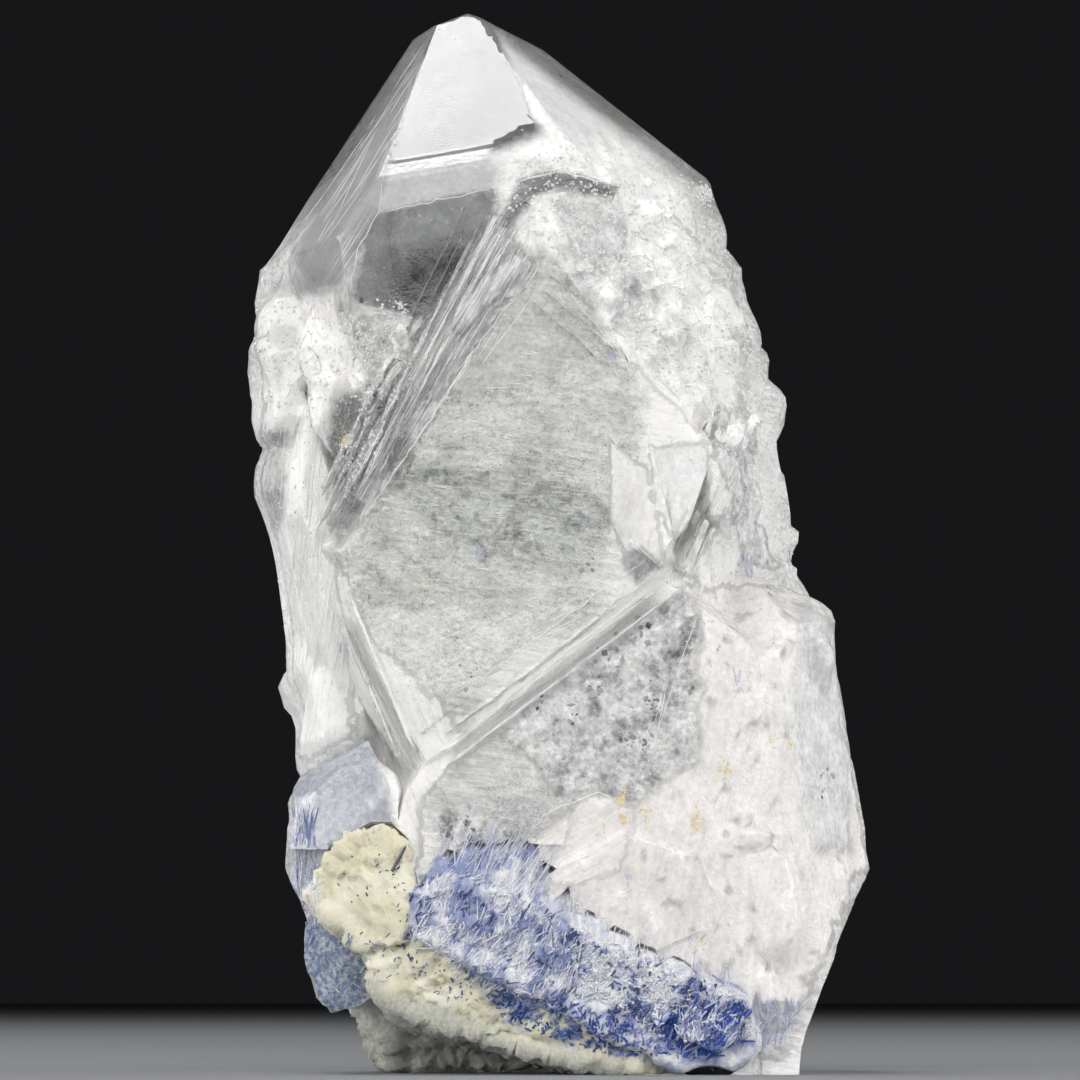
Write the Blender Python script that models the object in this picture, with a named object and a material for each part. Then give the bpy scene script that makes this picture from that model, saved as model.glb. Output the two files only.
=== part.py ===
"""A quartz crystal with blue dumortierite needles at its foot, on a lump of cream feldspar.

Run with: blender --background --python part.py

The quartz is a group of parallel crystals grown together, so it is one solid. Every crystal in it
shares one c axis, which leans to the left, and one set of face directions, as intergrown quartz does.
The frame is X to the right, Y away from the front, Z up, and the floor is Z = 0.
Coordinates below are in millimetres, before CENTRE_SHIFT brings the specimen's box over the origin.
"""

import math
import random

import bmesh
import bpy
from mathutils import Matrix, Vector
from mathutils.bvhtree import BVHTree

MM = 0.001

# Driving dimensions, in millimetres and degrees
CENTRE_SHIFT = (-0.054, -0.4065, 0.0)
C_AXIS_LEAN = 9.0
FRONT_AZIMUTH = 266.5
PYRAMID_PITCH = 38.2
MAIN_APEX = (-3.18, -0.4, 32.75)
MAIN_REACH = (4.9, 5.85, 5.9, 6.2, 6.1, 6.06)
MAIN_LENGTH = 36.0
GAP = 0.3

# Colour and roughness of each mineral
QUARTZ_COLOUR = (0.86, 0.87, 0.87, 1.0)
BLUE_COLOUR = (0.10, 0.16, 0.42, 1.0)
CREAM_COLOUR = (0.74, 0.70, 0.52, 1.0)

# The big crystals of the group, each with its apex, how far its six faces reach from the axis
# (front, front right, back right, back, back left, front left) and its length
BIG_CRYSTALS = {
    "left_shoulder": ((-3.3, 0.5, 30.9), (3.8, 3.9, 5.0, 5.9, 6.25, 6.2), 34.0),
    "left_body": ((-2.7, 0.9, 26.2), (3.6, 3.9, 5.0, 5.6, 6.55, 6.3), 34.0),
    "right_shoulder": ((-2.7, 0.0, 31.1), (4.4, 6.1, 6.2, 5.4, 4.0, 3.6), 34.0),
    "right_step": ((-2.3, 0.3, 28.6), (4.2, 6.4, 6.4, 5.2, 4.0, 3.6), 34.0),
    "right_body": ((-1.75, 0.5, 25.2), (4.0, 6.4, 6.5, 5.0, 4.0, 3.6), 34.0),
    "back_left_step": ((-3.3, 1.6, 28.0), (3.0, 3.0, 4.4, 5.2, 5.0, 4.4), 34.0),
    "back_right_step": ((0.4, 2.6, 24.6), (2.0, 3.2, 3.9, 3.9, 3.4, 2.6), 34.0),
    "back_low": ((-1.0, 3.2, 17.5), (2.0, 2.8, 3.2, 3.5, 3.1, 2.6), 34.0),
    "lower_right": ((5.35, -2.4, 15.75), (2.9, 2.1, 2.0, 2.6, 2.6, 2.9), 34.0),
    "lower_right_back": ((5.2, 1.2, 13.6), (2.4, 2.5, 2.6, 2.9, 2.2, 2.0), 34.0),
    "lower_right_rib": ((7.1, -1.4, 10.6), (1.9, 1.35, 1.3, 1.6, 1.4, 1.5), 34.0),
}

# Slender crystals that taper at both ends: apex, reach, length, tip pitch and foot pitch
SLENDER_CRYSTALS = {
    "left_rib": ((-7.5, -2.7, 20.5), (1.15, 1.0, 1.0, 1.1, 1.0, 0.95), 13.5, 14.0, 10.0),
    "left_rib_behind": ((-8.2, -1.5, 20.8), (1.0, 0.9, 1.0, 1.0, 0.95, 0.95), 16.0, 16.0, 10.0),
    "left_rib_low": ((-6.9, -2.4, 14.6), (1.3, 1.1, 1.0, 1.0, 1.2, 1.25), 10.0, 16.0, 14.0),
    "left_wedge": ((-6.7, -3.3, 21.6), (0.7, 0.6, 0.6, 0.6, 0.6, 0.65), 4.4, 30.0, 24.0),
    "left_plume": ((-8.15, -1.9, 23.9), (0.8, 0.7, 0.8, 0.9, 0.8, 0.8), 5.2, 24.0, 16.0),
    "left_plume_front": ((-7.3, -2.7, 22.9), (0.6, 0.6, 0.7, 0.7, 0.6, 0.6), 4.0, 22.0, 16.0),
    "lower_blade": ((4.6, -4.7, 12.2), (1.0, 0.8, 0.8, 0.9, 0.8, 0.9), 10.5, 12.0, 12.0),
    "lower_right_blade": ((6.9, -3.4, 9.6), (0.95, 0.8, 0.8, 0.9, 0.8, 0.8), 8.0, 18.0, 12.0),
    "foot_blade": ((1.9, -4.9, 9.0), (0.8, 0.8, 0.8, 0.9, 0.8, 0.7), 5.5, 26.0, 20.0),
    "back_rib": ((-4.2, 5.5, 21.0), (1.1, 1.2, 1.1, 1.0, 1.1, 1.2), 15.0, 16.0, 12.0),
    "back_rib_right": ((2.3, 4.9, 18.0), (1.0, 1.1, 1.1, 1.0, 1.1, 1.0), 13.0, 20.0, 12.0),
    "side_rib": ((7.2, 1.4, 12.4), (1.0, 1.1, 1.2, 1.0, 1.0, 1.0), 10.0, 20.0, 12.0),
}

# Corners of the raised growth areas on the front, as (x, z, y)
UPPER_PLATE = (
    (-1.6, 25.4, -5.3), (-3.0, 22.9, -5.35), (-4.9, 19.6, -5.4), (-6.1, 16.9, -5.3),
    (-3.0, 15.0, -5.5), (3.6, 18.4, -5.7), (4.6, 21.4, -5.1), (3.2, 24.3, -4.8), (0.9, 25.7, -5.0),
    (1.0, 22.6, -5.75),
)
CENTRE_PLATE = (
    (-0.8, 22.8, -5.5), (-2.5, 21.4, -5.5), (-4.5, 18.2, -5.6), (-6.2, 15.4, -5.4),
    (-6.0, 13.8, -5.4), (-4.9, 11.1, -5.8), (-3.8, 9.0, -6.0), (0.2, 11.8, -6.2),
    (3.1, 14.4, -6.1), (4.3, 17.9, -5.8), (3.7, 19.6, -5.7), (2.2, 21.4, -5.6), (0.7, 22.5, -5.5),
    (-3.0, 14.3, -6.35), (1.5, 16.6, -6.4), (-0.6, 19.6, -6.05),
)
LOWER_PLATE = (
    (-3.9, 8.9, -5.8), (0.1, 12.0, -5.7), (3.2, 14.3, -5.7), (5.6, 12.6, -5.5),
    (7.0, 9.5, -5.1), (6.9, 5.4, -5.2), (5.6, 1.9, -5.4), (1.2, 3.2, -5.9),
    (-1.1, 5.4, -6.0), (-4.3, 5.6, -5.9), (-4.6, 7.3, -5.8), (1.0, 8.6, -6.3), (4.2, 6.6, -6.2),
)
LEFT_FACET = (
    (1.9, 16.7, -6.0), (2.7, 18.5, -6.0), (3.4, 15.5, -6.6), (2.9, 14.7, -6.5), (2.1, 15.3, -6.3),
)
RIGHT_FACET = (
    (3.2, 17.6, -5.9), (4.3, 18.8, -5.8), (4.6, 18.2, -6.1), (3.9, 16.1, -6.5), (3.4, 15.4, -6.4),
)
SHELF = (
    (-0.9, 5.4, -6.1), (0.1, 6.0, -6.25), (2.0, 6.9, -6.35), (4.2, 6.2, -6.3), (5.0, 4.4, -5.8),
    (2.6, 3.4, -6.0), (0.2, 4.4, -6.1),
)
LOW_SHELF = (
    (-3.3, 8.3, -6.0), (-1.6, 7.9, -6.25), (0.6, 8.5, -6.35), (0.2, 6.6, -6.25), (-2.9, 6.6, -6.1),
)
LEFT_LOBE = (
    (-7.3, 5.2, -4.3), (-7.4, 3.4, -4.2), (-7.1, 2.2, -4.2), (-6.6, 1.75, -4.4), (-5.7, 1.9, -4.7),
    (-4.9, 2.5, -4.7), (-4.3, 3.2, -4.8), (-4.6, 4.6, -5.1), (-5.6, 5.6, -4.9), (-6.1, 3.6, -5.2),
)
CORNER_CRYSTAL = (
    (-7.6, 8.5, -3.6), (-5.5, 9.75, -4.4), (-4.7, 8.1, -5.7), (-4.5, 6.8, -5.9),
    (-6.6, 6.5, -5.9), (-7.9, 6.5, -4.5), (-7.9, 7.9, -3.9), (-6.9, 8.2, -5.2),
)
CORNER_CRYSTAL_LOW = (
    (-7.9, 7.6, -3.2), (-6.6, 7.9, -4.8), (-6.5, 5.0, -5.1), (-7.2, 4.2, -4.2), (-8.05, 6.0, -3.2),
)

# Outlines seen from the front, as (x, z), of the areas that small crystals cover
RIGHT_CRUST = (
    (-0.4, 26.9), (1.3, 27.0), (3.5, 25.8), (4.9, 23.8), (5.8, 20.8), (6.1, 18.6), (5.3, 19.5),
    (4.3, 19.8), (3.0, 20.9), (1.7, 21.6), (0.9, 22.6), (-0.2, 23.3), (-0.9, 24.4), (-0.9, 25.5),
)
LEFT_CRUST = (
    (-8.4, 22.9), (-6.8, 22.8), (-5.3, 21.7), (-4.4, 22.0), (-5.2, 19.9), (-6.5, 19.4),
    (-7.5, 19.9), (-8.3, 19.6), (-8.6, 20.9),
)
RIGHT_SIDE = ((4.9, 19.0), (6.0, 18.4), (6.4, 15.4), (5.4, 15.0), (4.4, 14.8))
LOWER_RIGHT = (
    (3.9, 13.8), (6.7, 13.2), (7.7, 8.0), (8.0, 5.6), (6.6, 2.6), (4.6, 2.9), (5.3, 5.8), (4.2, 9.0),
)

LEAN = Matrix.Rotation(math.radians(-C_AXIS_LEAN), 3, "Y")
FACE_COUNT = 6
SHORTEST_EDGE = 0.002
SET_BACKS = (0.0, 0.05, 0.02, 0.07, 0.035, 0.06)
MAIN_SET_BACKS = (0.0, -0.02, -0.05, -0.035, -0.013, -0.008)


def clear_scene():
    for obj in list(bpy.data.objects):
        bpy.data.objects.remove(obj)


def new_collection(name):
    collection = bpy.data.collections.new(name)
    bpy.context.scene.collection.children.link(collection)
    return collection


def material(name, colour, roughness, transmission=0.0):
    made = bpy.data.materials.new(name)
    made.use_nodes = True
    shader = made.node_tree.nodes["Principled BSDF"]
    shader.inputs["Base Color"].default_value = colour
    shader.inputs["Roughness"].default_value = roughness
    shader.inputs["Metallic"].default_value = 0.0
    shader.inputs["Transmission Weight"].default_value = transmission
    made.diffuse_color = colour
    return made


def add_object(name, mesh_data, collection, centre, helper):
    """Puts a bmesh in the scene. A helper takes part in a Boolean and isn't a piece itself."""
    bmesh.ops.recalc_face_normals(mesh_data, faces=mesh_data.faces[:])
    mesh = bpy.data.meshes.new(name)
    mesh_data.to_mesh(mesh)
    mesh_data.free()
    obj = bpy.data.objects.new(name, mesh)
    obj.parent = centre
    collection.objects.link(obj)
    if helper:
        obj.hide_render = True
        obj.display_type = "WIRE"
    return obj


def outward(azimuth):
    return Vector((math.cos(azimuth), math.sin(azimuth), 0.0))


def face_direction(index):
    """Direction of prism face number index, counted from the front one anticlockwise from above."""
    return outward(math.radians(FRONT_AZIMUTH + 360.0 / FACE_COUNT * index))


def slice_off(mesh_data, point, normal):
    """Cuts away what lies on the normal's side of a plane, and closes the cut."""
    everything = mesh_data.verts[:] + mesh_data.edges[:] + mesh_data.faces[:]
    cut = bmesh.ops.bisect_plane(
        mesh_data, geom=everything, plane_co=point, plane_no=normal, clear_outer=True
    )
    rim = [e for e in cut["geom_cut"] if isinstance(e, bmesh.types.BMEdge)]
    if rim:
        bmesh.ops.contextual_create(mesh_data, geom=rim)


def crystal_mesh(apex, reach, length, pitch=PYRAMID_PITCH, foot_pitch=None, turn=None,
                 set_backs=SET_BACKS):
    """One quartz crystal: a cube cut down by six prism faces and six tip faces.

    With a foot_pitch its lower end is a pyramid too, so it fades into the wall it stands on.
    set_backs moves the tip faces in by a share of the crystal's width, so that they meet in short
    edges, as real ones do, and not in one point.
    """
    mesh_data = bmesh.new()
    bmesh.ops.create_cube(mesh_data, size=4.0 * length)
    up = Vector((0, 0, 1))
    slope = math.radians(pitch)
    foot_slope = math.radians(foot_pitch or 0.0)
    width = sum(reach) / FACE_COUNT
    for index, distance in enumerate(reach):
        side = face_direction(index)
        slice_off(mesh_data, side * distance, side)
        tip_normal = side * math.cos(slope) + up * math.sin(slope)
        slice_off(mesh_data, -tip_normal * set_backs[index] * width, tip_normal)
        if foot_pitch:
            foot_normal = side * math.cos(foot_slope) - up * math.sin(foot_slope)
            foot = -up * length - foot_normal * set_backs[-index] * width
            slice_off(mesh_data, foot, foot_normal)
    if not foot_pitch:
        slice_off(mesh_data, -up * length, -up)
    frame = LEAN if turn is None else LEAN @ turn
    place = Matrix.Translation(Vector(apex) * MM) @ frame.to_4x4() @ Matrix.Scale(MM, 4)
    bmesh.ops.transform(mesh_data, matrix=place, verts=mesh_data.verts[:])
    bmesh.ops.dissolve_degenerate(mesh_data, dist=SHORTEST_EDGE * MM, edges=mesh_data.edges[:])
    return mesh_data


def hull_mesh(points, grow=0.0):
    """The convex solid around some points in millimetres, made fatter all round by grow."""
    mesh_data = bmesh.new()
    steps = (-grow, grow) if grow else (0.0,)
    for point in points:
        for dx in steps:
            for dy in steps:
                for dz in steps:
                    mesh_data.verts.new((Vector(point) + Vector((dx, dy, dz))) * MM)
    found = bmesh.ops.convex_hull(mesh_data, input=mesh_data.verts[:])
    spare = [v for v in found["geom_interior"] if isinstance(v, bmesh.types.BMVert)]
    bmesh.ops.delete(mesh_data, geom=spare, context="VERTS")
    nearly_flat = math.radians(0.02)
    bmesh.ops.dissolve_limit(
        mesh_data, angle_limit=nearly_flat, verts=mesh_data.verts[:], edges=mesh_data.edges[:]
    )
    return mesh_data


def plate_mesh(corners, back, splay):
    """A raised area on the front: its corners, and a wider outline of them further back."""
    middle = Vector((sum(c[0] for c in corners), sum(c[1] for c in corners))) / len(corners)
    points = []
    for x, z, y in corners:
        away = (Vector((x, z)) - middle).normalized() * splay
        points.append((x, y, z))
        points.append((x + away.x, back, z + away.y))
    return hull_mesh(points)


def bar_mesh(start, end, across, width, crest):
    """A thin straight bar with a sharp crest towards the front and pointed ends."""
    start, end, across = Vector(start), Vector(end), Vector(across)
    along = (end - start).normalized()
    half = across * width / 2
    front = Vector((0, -crest, 0))
    root = Vector((0, 0.8, 0))
    points = [start - along * 0.5 + root, end + along * 0.5 + root]
    for corner in (start, end):
        points += [corner + half + root, corner - half + root, corner + half * 0.2 + front]
    return hull_mesh(points)


class Growth:
    """The quartz crystals and raised areas that are fused into one solid."""

    def __init__(self, centre):
        self.centre = centre
        self.collection = new_collection("quartz_growth")

    def add(self, name, mesh_data):
        return add_object(name, mesh_data, self.collection, self.centre, helper=True)

    def surface(self):
        """What has grown so far, for rays that look for its surface."""
        corners, faces = [], []
        for obj in self.collection.objects:
            first = len(corners)
            corners += [v.co / MM for v in obj.data.vertices]
            faces += [[first + i for i in polygon.vertices] for polygon in obj.data.polygons]
        return BVHTree.FromPolygons(corners, faces)


def grow_big_crystals(growth):
    for name, (apex, reach, length) in BIG_CRYSTALS.items():
        growth.add(name, crystal_mesh(apex, reach, length))
    for name, (apex, reach, length, pitch, foot_pitch) in SLENDER_CRYSTALS.items():
        growth.add(name, crystal_mesh(apex, reach, length, pitch, foot_pitch))


def grow_plates(growth):
    growth.add("upper_plate", plate_mesh(UPPER_PLATE, -2.5, 1.1))
    growth.add("centre_plate", plate_mesh(CENTRE_PLATE, -3.4, 1.0))
    growth.add("lower_plate", plate_mesh(LOWER_PLATE, -2.6, 0.8))
    growth.add("left_facet", plate_mesh(LEFT_FACET, -4.8, 0.4))
    growth.add("right_facet", plate_mesh(RIGHT_FACET, -4.8, 0.4))
    growth.add("shelf", plate_mesh(SHELF, -4.8, 0.3))
    growth.add("low_shelf", plate_mesh(LOW_SHELF, -4.8, 0.3))
    growth.add("left_lobe", plate_mesh(LEFT_LOBE, 0.5, -0.4))
    growth.add("corner_crystal", plate_mesh(CORNER_CRYSTAL, -1.5, -0.3))
    growth.add("corner_crystal_low", plate_mesh(CORNER_CRYSTAL_LOW, -0.5, -0.5))


def grow_ridge(growth, name, start, end, across, width, bars, crest, seed):
    """A band of fine straight steps side by side, where two faces took turns as they grew."""
    rng = random.Random(seed)
    start, end, across = Vector(start), Vector(end), Vector(across)
    run = end - start
    for number in range(bars):
        share = number / (bars - 1) - 0.5
        offset = across * width * share
        first = start + offset + run * rng.uniform(0.0, 0.16)
        last = end + offset - run * rng.uniform(0.0, 0.2)
        height = crest * (1.0 - abs(share)) * rng.uniform(0.6, 1.1)
        bar = bar_mesh(first, last, across, width / bars * rng.uniform(0.6, 0.9), height)
        growth.add(f"{name}_{number}", bar)


def grow_ridges(growth):
    grow_ridge(growth, "left_ridge", (-1.7, -5.35, 25.2), (-6.3, -5.4, 15.9), (0.9, 0, -0.43),
               1.9, 7, 0.25, 3)
    grow_ridge(growth, "low_ridge", (3.3, -6.1, 14.6), (-3.7, -6.0, 9.3), (0.6, 0, -0.8),
               1.2, 4, 0.3, 4)
    grow_ridge(growth, "right_ridge", (3.4, -5.9, 14.5), (5.5, -5.1, 19.8), (0.93, 0, -0.37),
               1.0, 4, 0.3, 5)
    grow_ridge(growth, "margin", (-6.1, -5.4, 14.0), (-3.9, -6.1, 8.8), (0.9, 0, 0.4),
               1.0, 3, 0.25, 6)
    grow_ridge(growth, "slab_ridge", (-0.5, -5.6, 22.9), (1.9, -5.7, 20.9), (0.64, 0, 0.77),
               0.9, 3, 0.3, 7)


def inside(outline, x, z):
    """Whether a point lies inside an outline, by counting the edges to its right."""
    crossings = 0
    for (x1, z1), (x2, z2) in zip(outline, outline[1:] + outline[:1]):
        if (z1 > z) != (z2 > z) and x < x1 + (z - z1) / (z2 - z1) * (x2 - x1):
            crossings += 1
    return crossings % 2 == 1


def place_small_crystal(growth, name, surface, origin, direction, rng, sizes, proud, wobble):
    """One small crystal where a ray meets the surface, a little proud of it."""
    hit, normal = surface.ray_cast(origin, direction)[:2]
    if hit is None:
        return
    up = LEAN @ Vector((0, 0, 1))
    inward = (normal.dot(up) * up - normal).normalized()
    if inward.dot(direction) < 0:
        inward = -inward
    size = rng.uniform(*sizes)
    reach = tuple(size * rng.uniform(0.65, 1.25) for _ in range(FACE_COUNT))
    turn = Matrix.Rotation(math.radians(rng.uniform(-wobble, wobble)), 3, "X")
    turn = turn @ Matrix.Rotation(math.radians(rng.uniform(-wobble, wobble)), 3, "Y")
    depth = min(reach) - rng.uniform(*proud)
    length = size * rng.uniform(2.4, 5.0)
    apex = hit + inward * depth + up * size
    pitch = rng.uniform(32.0, 50.0)
    mesh_data = crystal_mesh(apex, reach, length, pitch, rng.uniform(18.0, 35.0), turn=turn)
    growth.add(name, mesh_data)


def grow_front_crust(growth, name, outline, count, sizes, proud, wobble, seed):
    """Small crystals over an area that is outlined as seen from the front."""
    rng = random.Random(seed)
    surface = growth.surface()
    lowest = Vector((min(p[0] for p in outline), min(p[1] for p in outline)))
    highest = Vector((max(p[0] for p in outline), max(p[1] for p in outline)))
    placed = 0
    while placed < count:
        x = rng.uniform(lowest.x, highest.x)
        z = rng.uniform(lowest.y, highest.y)
        if not inside(outline, x, z):
            continue
        origin = Vector((x, -30.0, z))
        place_small_crystal(
            growth, f"{name}_{placed}", surface, origin, Vector((0, 1, 0)), rng, sizes, proud, wobble
        )
        placed += 1


def grow_wall_crust(growth, name, azimuths, heights, count, sizes, proud, wobble, seed):
    """Small crystals on the walls, between two azimuths and two heights."""
    rng = random.Random(seed)
    surface = growth.surface()
    for number in range(count):
        side = outward(math.radians(rng.uniform(*azimuths)))
        height = rng.uniform(*heights)
        axis_x = MAIN_APEX[0] + (MAIN_APEX[2] - height) * math.tan(math.radians(C_AXIS_LEAN))
        origin = Vector((axis_x, 0.0, height)) + side * 30.0
        place_small_crystal(
            growth, f"{name}_{number}", surface, origin, -side, rng, sizes, proud, wobble
        )


def grow_crusts(growth):
    grow_front_crust(growth, "right_crust", RIGHT_CRUST, 38, (0.4, 1.2), (0.15, 0.45), 10, 11)
    grow_front_crust(growth, "left_crust", LEFT_CRUST, 10, (0.4, 0.8), (0.15, 0.4), 9, 5)
    grow_front_crust(growth, "right_side", RIGHT_SIDE, 6, (0.4, 0.9), (0.1, 0.3), 5, 23)
    grow_front_crust(growth, "lower_right_relief", LOWER_RIGHT, 7, (0.6, 1.2), (0.05, 0.2), 3, 29)
    grow_wall_crust(growth, "right_wall", (-35, 18), (4, 25), 14, (0.5, 1.2), (0.1, 0.3), 4, 37)
    grow_wall_crust(growth, "back_wall", (20, 165), (3, 26), 26, (0.5, 1.4), (0.05, 0.3), 4, 31)
    grow_wall_crust(growth, "left_wall", (165, 225), (7, 22), 7, (0.5, 1.1), (0.05, 0.3), 3, 47)


# Corners of the feldspar: the lump at the left, the band under the blue layer and the foot
FELDSPAR_LUMP = (
    (-6.9, -5.6, 5.2), (-6.5, -5.7, 6.1), (-5.8, -5.9, 6.5), (-5.1, -6.0, 7.0), (-4.6, -6.1, 6.5),
    (-4.5, -6.3, 5.2), (-4.6, -6.3, 3.9), (-5.6, -5.9, 4.0), (-6.4, -3.6, 4.7), (-4.9, -3.4, 6.3),
    (-4.6, -3.4, 3.2),
)
FELDSPAR_BAND = (
    (-5.2, -5.8, 4.2), (-4.3, -6.2, 3.9), (0.1, -6.1, 1.9), (3.2, -5.7, 0.7), (3.4, -4.6, 0.05),
    (0.0, -5.6, 0.75), (-2.2, -5.7, 1.45), (-4.4, -5.6, 2.1), (-5.0, -5.1, 2.7), (-4.4, -1.0, 2.9),
    (0.2, -1.0, 1.6), (2.4, -2.0, 0.1), (-4.6, -1.0, 1.9), (-1.0, -1.6, 0.9),
)
FELDSPAR_FOOT = (
    (-4.9, -2.2, 2.7), (-5.6, -0.4, 2.1), (-4.8, -1.0, -0.2), (-4.7, 3.4, -0.2), (-5.2, 2.6, 1.9),
    (-0.8, 3.8, -0.2), (1.4, -1.0, -0.2), (-1.6, -1.2, -0.2), (0.8, 2.2, 0.8), (-4.2, -3.2, 2.8),
    (0.4, -2.0, 1.2),
)

# Corners of the dumortierite layer, open to the front, in two convex lengths
BLUE_LEFT = (
    (-3.9, -6.3, 5.0), (-3.1, -6.4, 5.4), (-1.6, -6.4, 5.0), (-0.2, -6.35, 4.3), (0.4, -6.3, 3.6),
    (0.4, -6.25, 2.3), (-1.6, -6.3, 3.0), (-3.8, -6.3, 4.2), (-3.6, -4.2, 4.9), (-1.2, -4.2, 4.6),
    (0.3, -4.2, 2.7), (-3.5, -4.2, 4.4),
)
BLUE_RIGHT = (
    (-0.3, -6.35, 4.0), (1.3, -6.3, 3.3), (3.0, -6.2, 2.4), (4.4, -6.0, 2.0), (5.4, -5.8, 1.5),
    (5.5, -5.6, 0.9), (4.6, -5.5, 0.2), (3.7, -5.6, 0.4), (0.0, -6.25, 2.3), (-0.2, -4.2, 3.6),
    (3.0, -4.0, 2.0), (5.0, -3.9, 1.1), (4.5, -4.0, 0.2), (0.2, -4.2, 2.7),
)

# Needle bundles that stand on the layer: foot and tip as (x, z), and the radius of the bundle
BUNDLE_DEPTH = -5.85
BUNDLES = (
    ((-3.4, 4.9), (-3.0, 6.1), 0.34), ((-2.8, 5.0), (-2.2, 6.3), 0.34), ((-2.2, 5.0), (-1.5, 6.4), 0.34),
    ((-1.6, 4.8), (-0.8, 6.5), 0.34), ((-1.15, 4.5), (-0.4, 5.8), 0.34), ((-0.3, 4.1), (0.3, 5.1), 0.32),
    ((0.5, 3.5), (0.9, 4.4), 0.32), ((1.3, 3.1), (1.7, 3.9), 0.32), ((2.2, 2.6), (2.5, 3.4), 0.32),
    ((3.1, 2.2), (3.5, 3.0), 0.32), ((4.0, 1.9), (4.4, 2.6), 0.32), ((4.7, 1.6), (5.2, 2.2), 0.30),
)


def roughened(mesh_data, depth, cell, seed):
    """Breaks flat faces up into a rough surface that never stands proud of them."""
    rng = random.Random(seed)
    longest = cell * MM
    for _ in range(3):
        long_edges = [e for e in mesh_data.edges if e.calc_length() > longest]
        if long_edges:
            bmesh.ops.subdivide_edges(mesh_data, edges=long_edges, cuts=1)
            bmesh.ops.triangulate(mesh_data, faces=mesh_data.faces[:])
    mesh_data.normal_update()
    middle = sum((v.co for v in mesh_data.verts), Vector()) / len(mesh_data.verts)
    for vert in mesh_data.verts:
        vert.co += (middle - vert.co).normalized() * depth * MM * rng.random()
    return mesh_data


def bundle_mesh(foot, tip, radius, grow=0.0):
    """A bundle of needles: a five-sided cone with its tip cut small."""
    foot = Vector((foot[0], BUNDLE_DEPTH, foot[1]))
    tip = Vector((tip[0], BUNDLE_DEPTH, tip[1]))
    along = (tip - foot).normalized()
    foot, tip = foot - along * 0.5, tip + along * grow
    mesh_data = bmesh.new()
    bmesh.ops.create_cone(
        mesh_data, cap_ends=True, segments=5, radius1=(radius + grow) * MM,
        radius2=(0.06 + grow) * MM, depth=(tip - foot).length * MM,
    )
    turn = along.to_track_quat("Z", "Y").to_matrix().to_4x4()
    place = Matrix.Translation((foot + tip) / 2 * MM) @ turn
    bmesh.ops.transform(mesh_data, matrix=place, verts=mesh_data.verts[:])
    return mesh_data


def boolean(obj, operation, other):
    modifier = obj.modifiers.new(operation.title(), "BOOLEAN")
    modifier.operation = operation
    modifier.solver = "EXACT"
    if isinstance(other, bpy.types.Collection):
        modifier.operand_type = "COLLECTION"
        modifier.collection = other
    else:
        modifier.object = other


def box_mesh(low, high):
    return hull_mesh([(x, y, z) for x in (low[0], high[0]) for y in (low[1], high[1])
                      for z in (low[2], high[2])])


def add_breaks(cutters, centre):
    """What is cut away from the quartz: below the floor, the chipped tip and the broken corner."""
    breaks = {
        "below_the_floor": box_mesh((-30, -30, -40), (30, 30, 0)),
        "tip_chip_left": hull_mesh([
            (-6.0, -3, 30.35), (-6.0, 3, 30.6), (-2.0, -3, 31.95), (-2.0, 3, 32.2),
            (-6.0, -3, 36), (-6.0, 3, 36), (-2.0, -3, 36), (-2.0, 3, 36),
        ]),
        "tip_chip_right": hull_mesh([
            (-3.6, -3, 32.2), (-3.6, 3, 31.95), (0.4, -3, 30.6), (0.4, 3, 30.35),
            (-3.6, -3, 36), (-3.6, 3, 36), (0.4, -3, 36), (0.4, 3, 36),
        ]),
        "broken_corner": hull_mesh([
            (9.3, -8, 6.1), (9.4, 8, 6.2), (8.55, -8, 4.6), (8.65, 8, 4.6), (7.85, -8, 2.9),
            (7.95, 8, 2.7), (7.1, -8, 0.9), (7.2, 8, 0.4), (6.9, -8, -1), (7.0, 8, -1),
            (12, -8, 6.6), (12, 8, 6.6), (12, -8, -1), (12, 8, -1),
        ]),
        "hollow_left": hull_mesh([
            (x, y, z) for x, z in ((-12, -1), (-12, 2.6), (-5.2, 1.55), (-4.9, -1)) for y in (-9, 9)
        ]),
        "hollow_front": hull_mesh([
            (-5.36, -9, 2.16), (-5.36, -9, -1), (2.4, -9, -1), (2.4, -9, 0.3),
            (-5.36, -1.4, 2.16), (-5.36, -1.4, -1), (1.4, -1.4, -1), (1.4, -1.4, 0.5),
        ]),
    }
    return [add_object(name, mesh_data, cutters, centre, helper=True)
            for name, mesh_data in breaks.items()]


def pockets(name, meshes, cutters, centre):
    return [add_object(f"{name}_{number}", mesh_data, cutters, centre, helper=True)
            for number, mesh_data in enumerate(meshes)]


def make_quartz(specimen, cutters, centre, breaks, blue_pockets):
    growth = Growth(centre)
    grow_big_crystals(growth)
    grow_plates(growth)
    grow_ridges(growth)
    grow_crusts(growth)
    main_mesh = crystal_mesh(MAIN_APEX, MAIN_REACH, MAIN_LENGTH, set_backs=MAIN_SET_BACKS)
    quartz = add_object("quartz_crystal", main_mesh, specimen, centre, helper=False)
    quartz.data.materials.append(material("quartz", QUARTZ_COLOUR, 0.12, transmission=0.8))
    boolean(quartz, "UNION", growth.collection)
    lumps = [hull_mesh(corners, GAP) for corners in (FELDSPAR_LUMP, FELDSPAR_BAND, FELDSPAR_FOOT)]
    for cutter in breaks + pockets("feldspar_pocket", lumps, cutters, centre) + blue_pockets:
        boolean(quartz, "DIFFERENCE", cutter)


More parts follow.
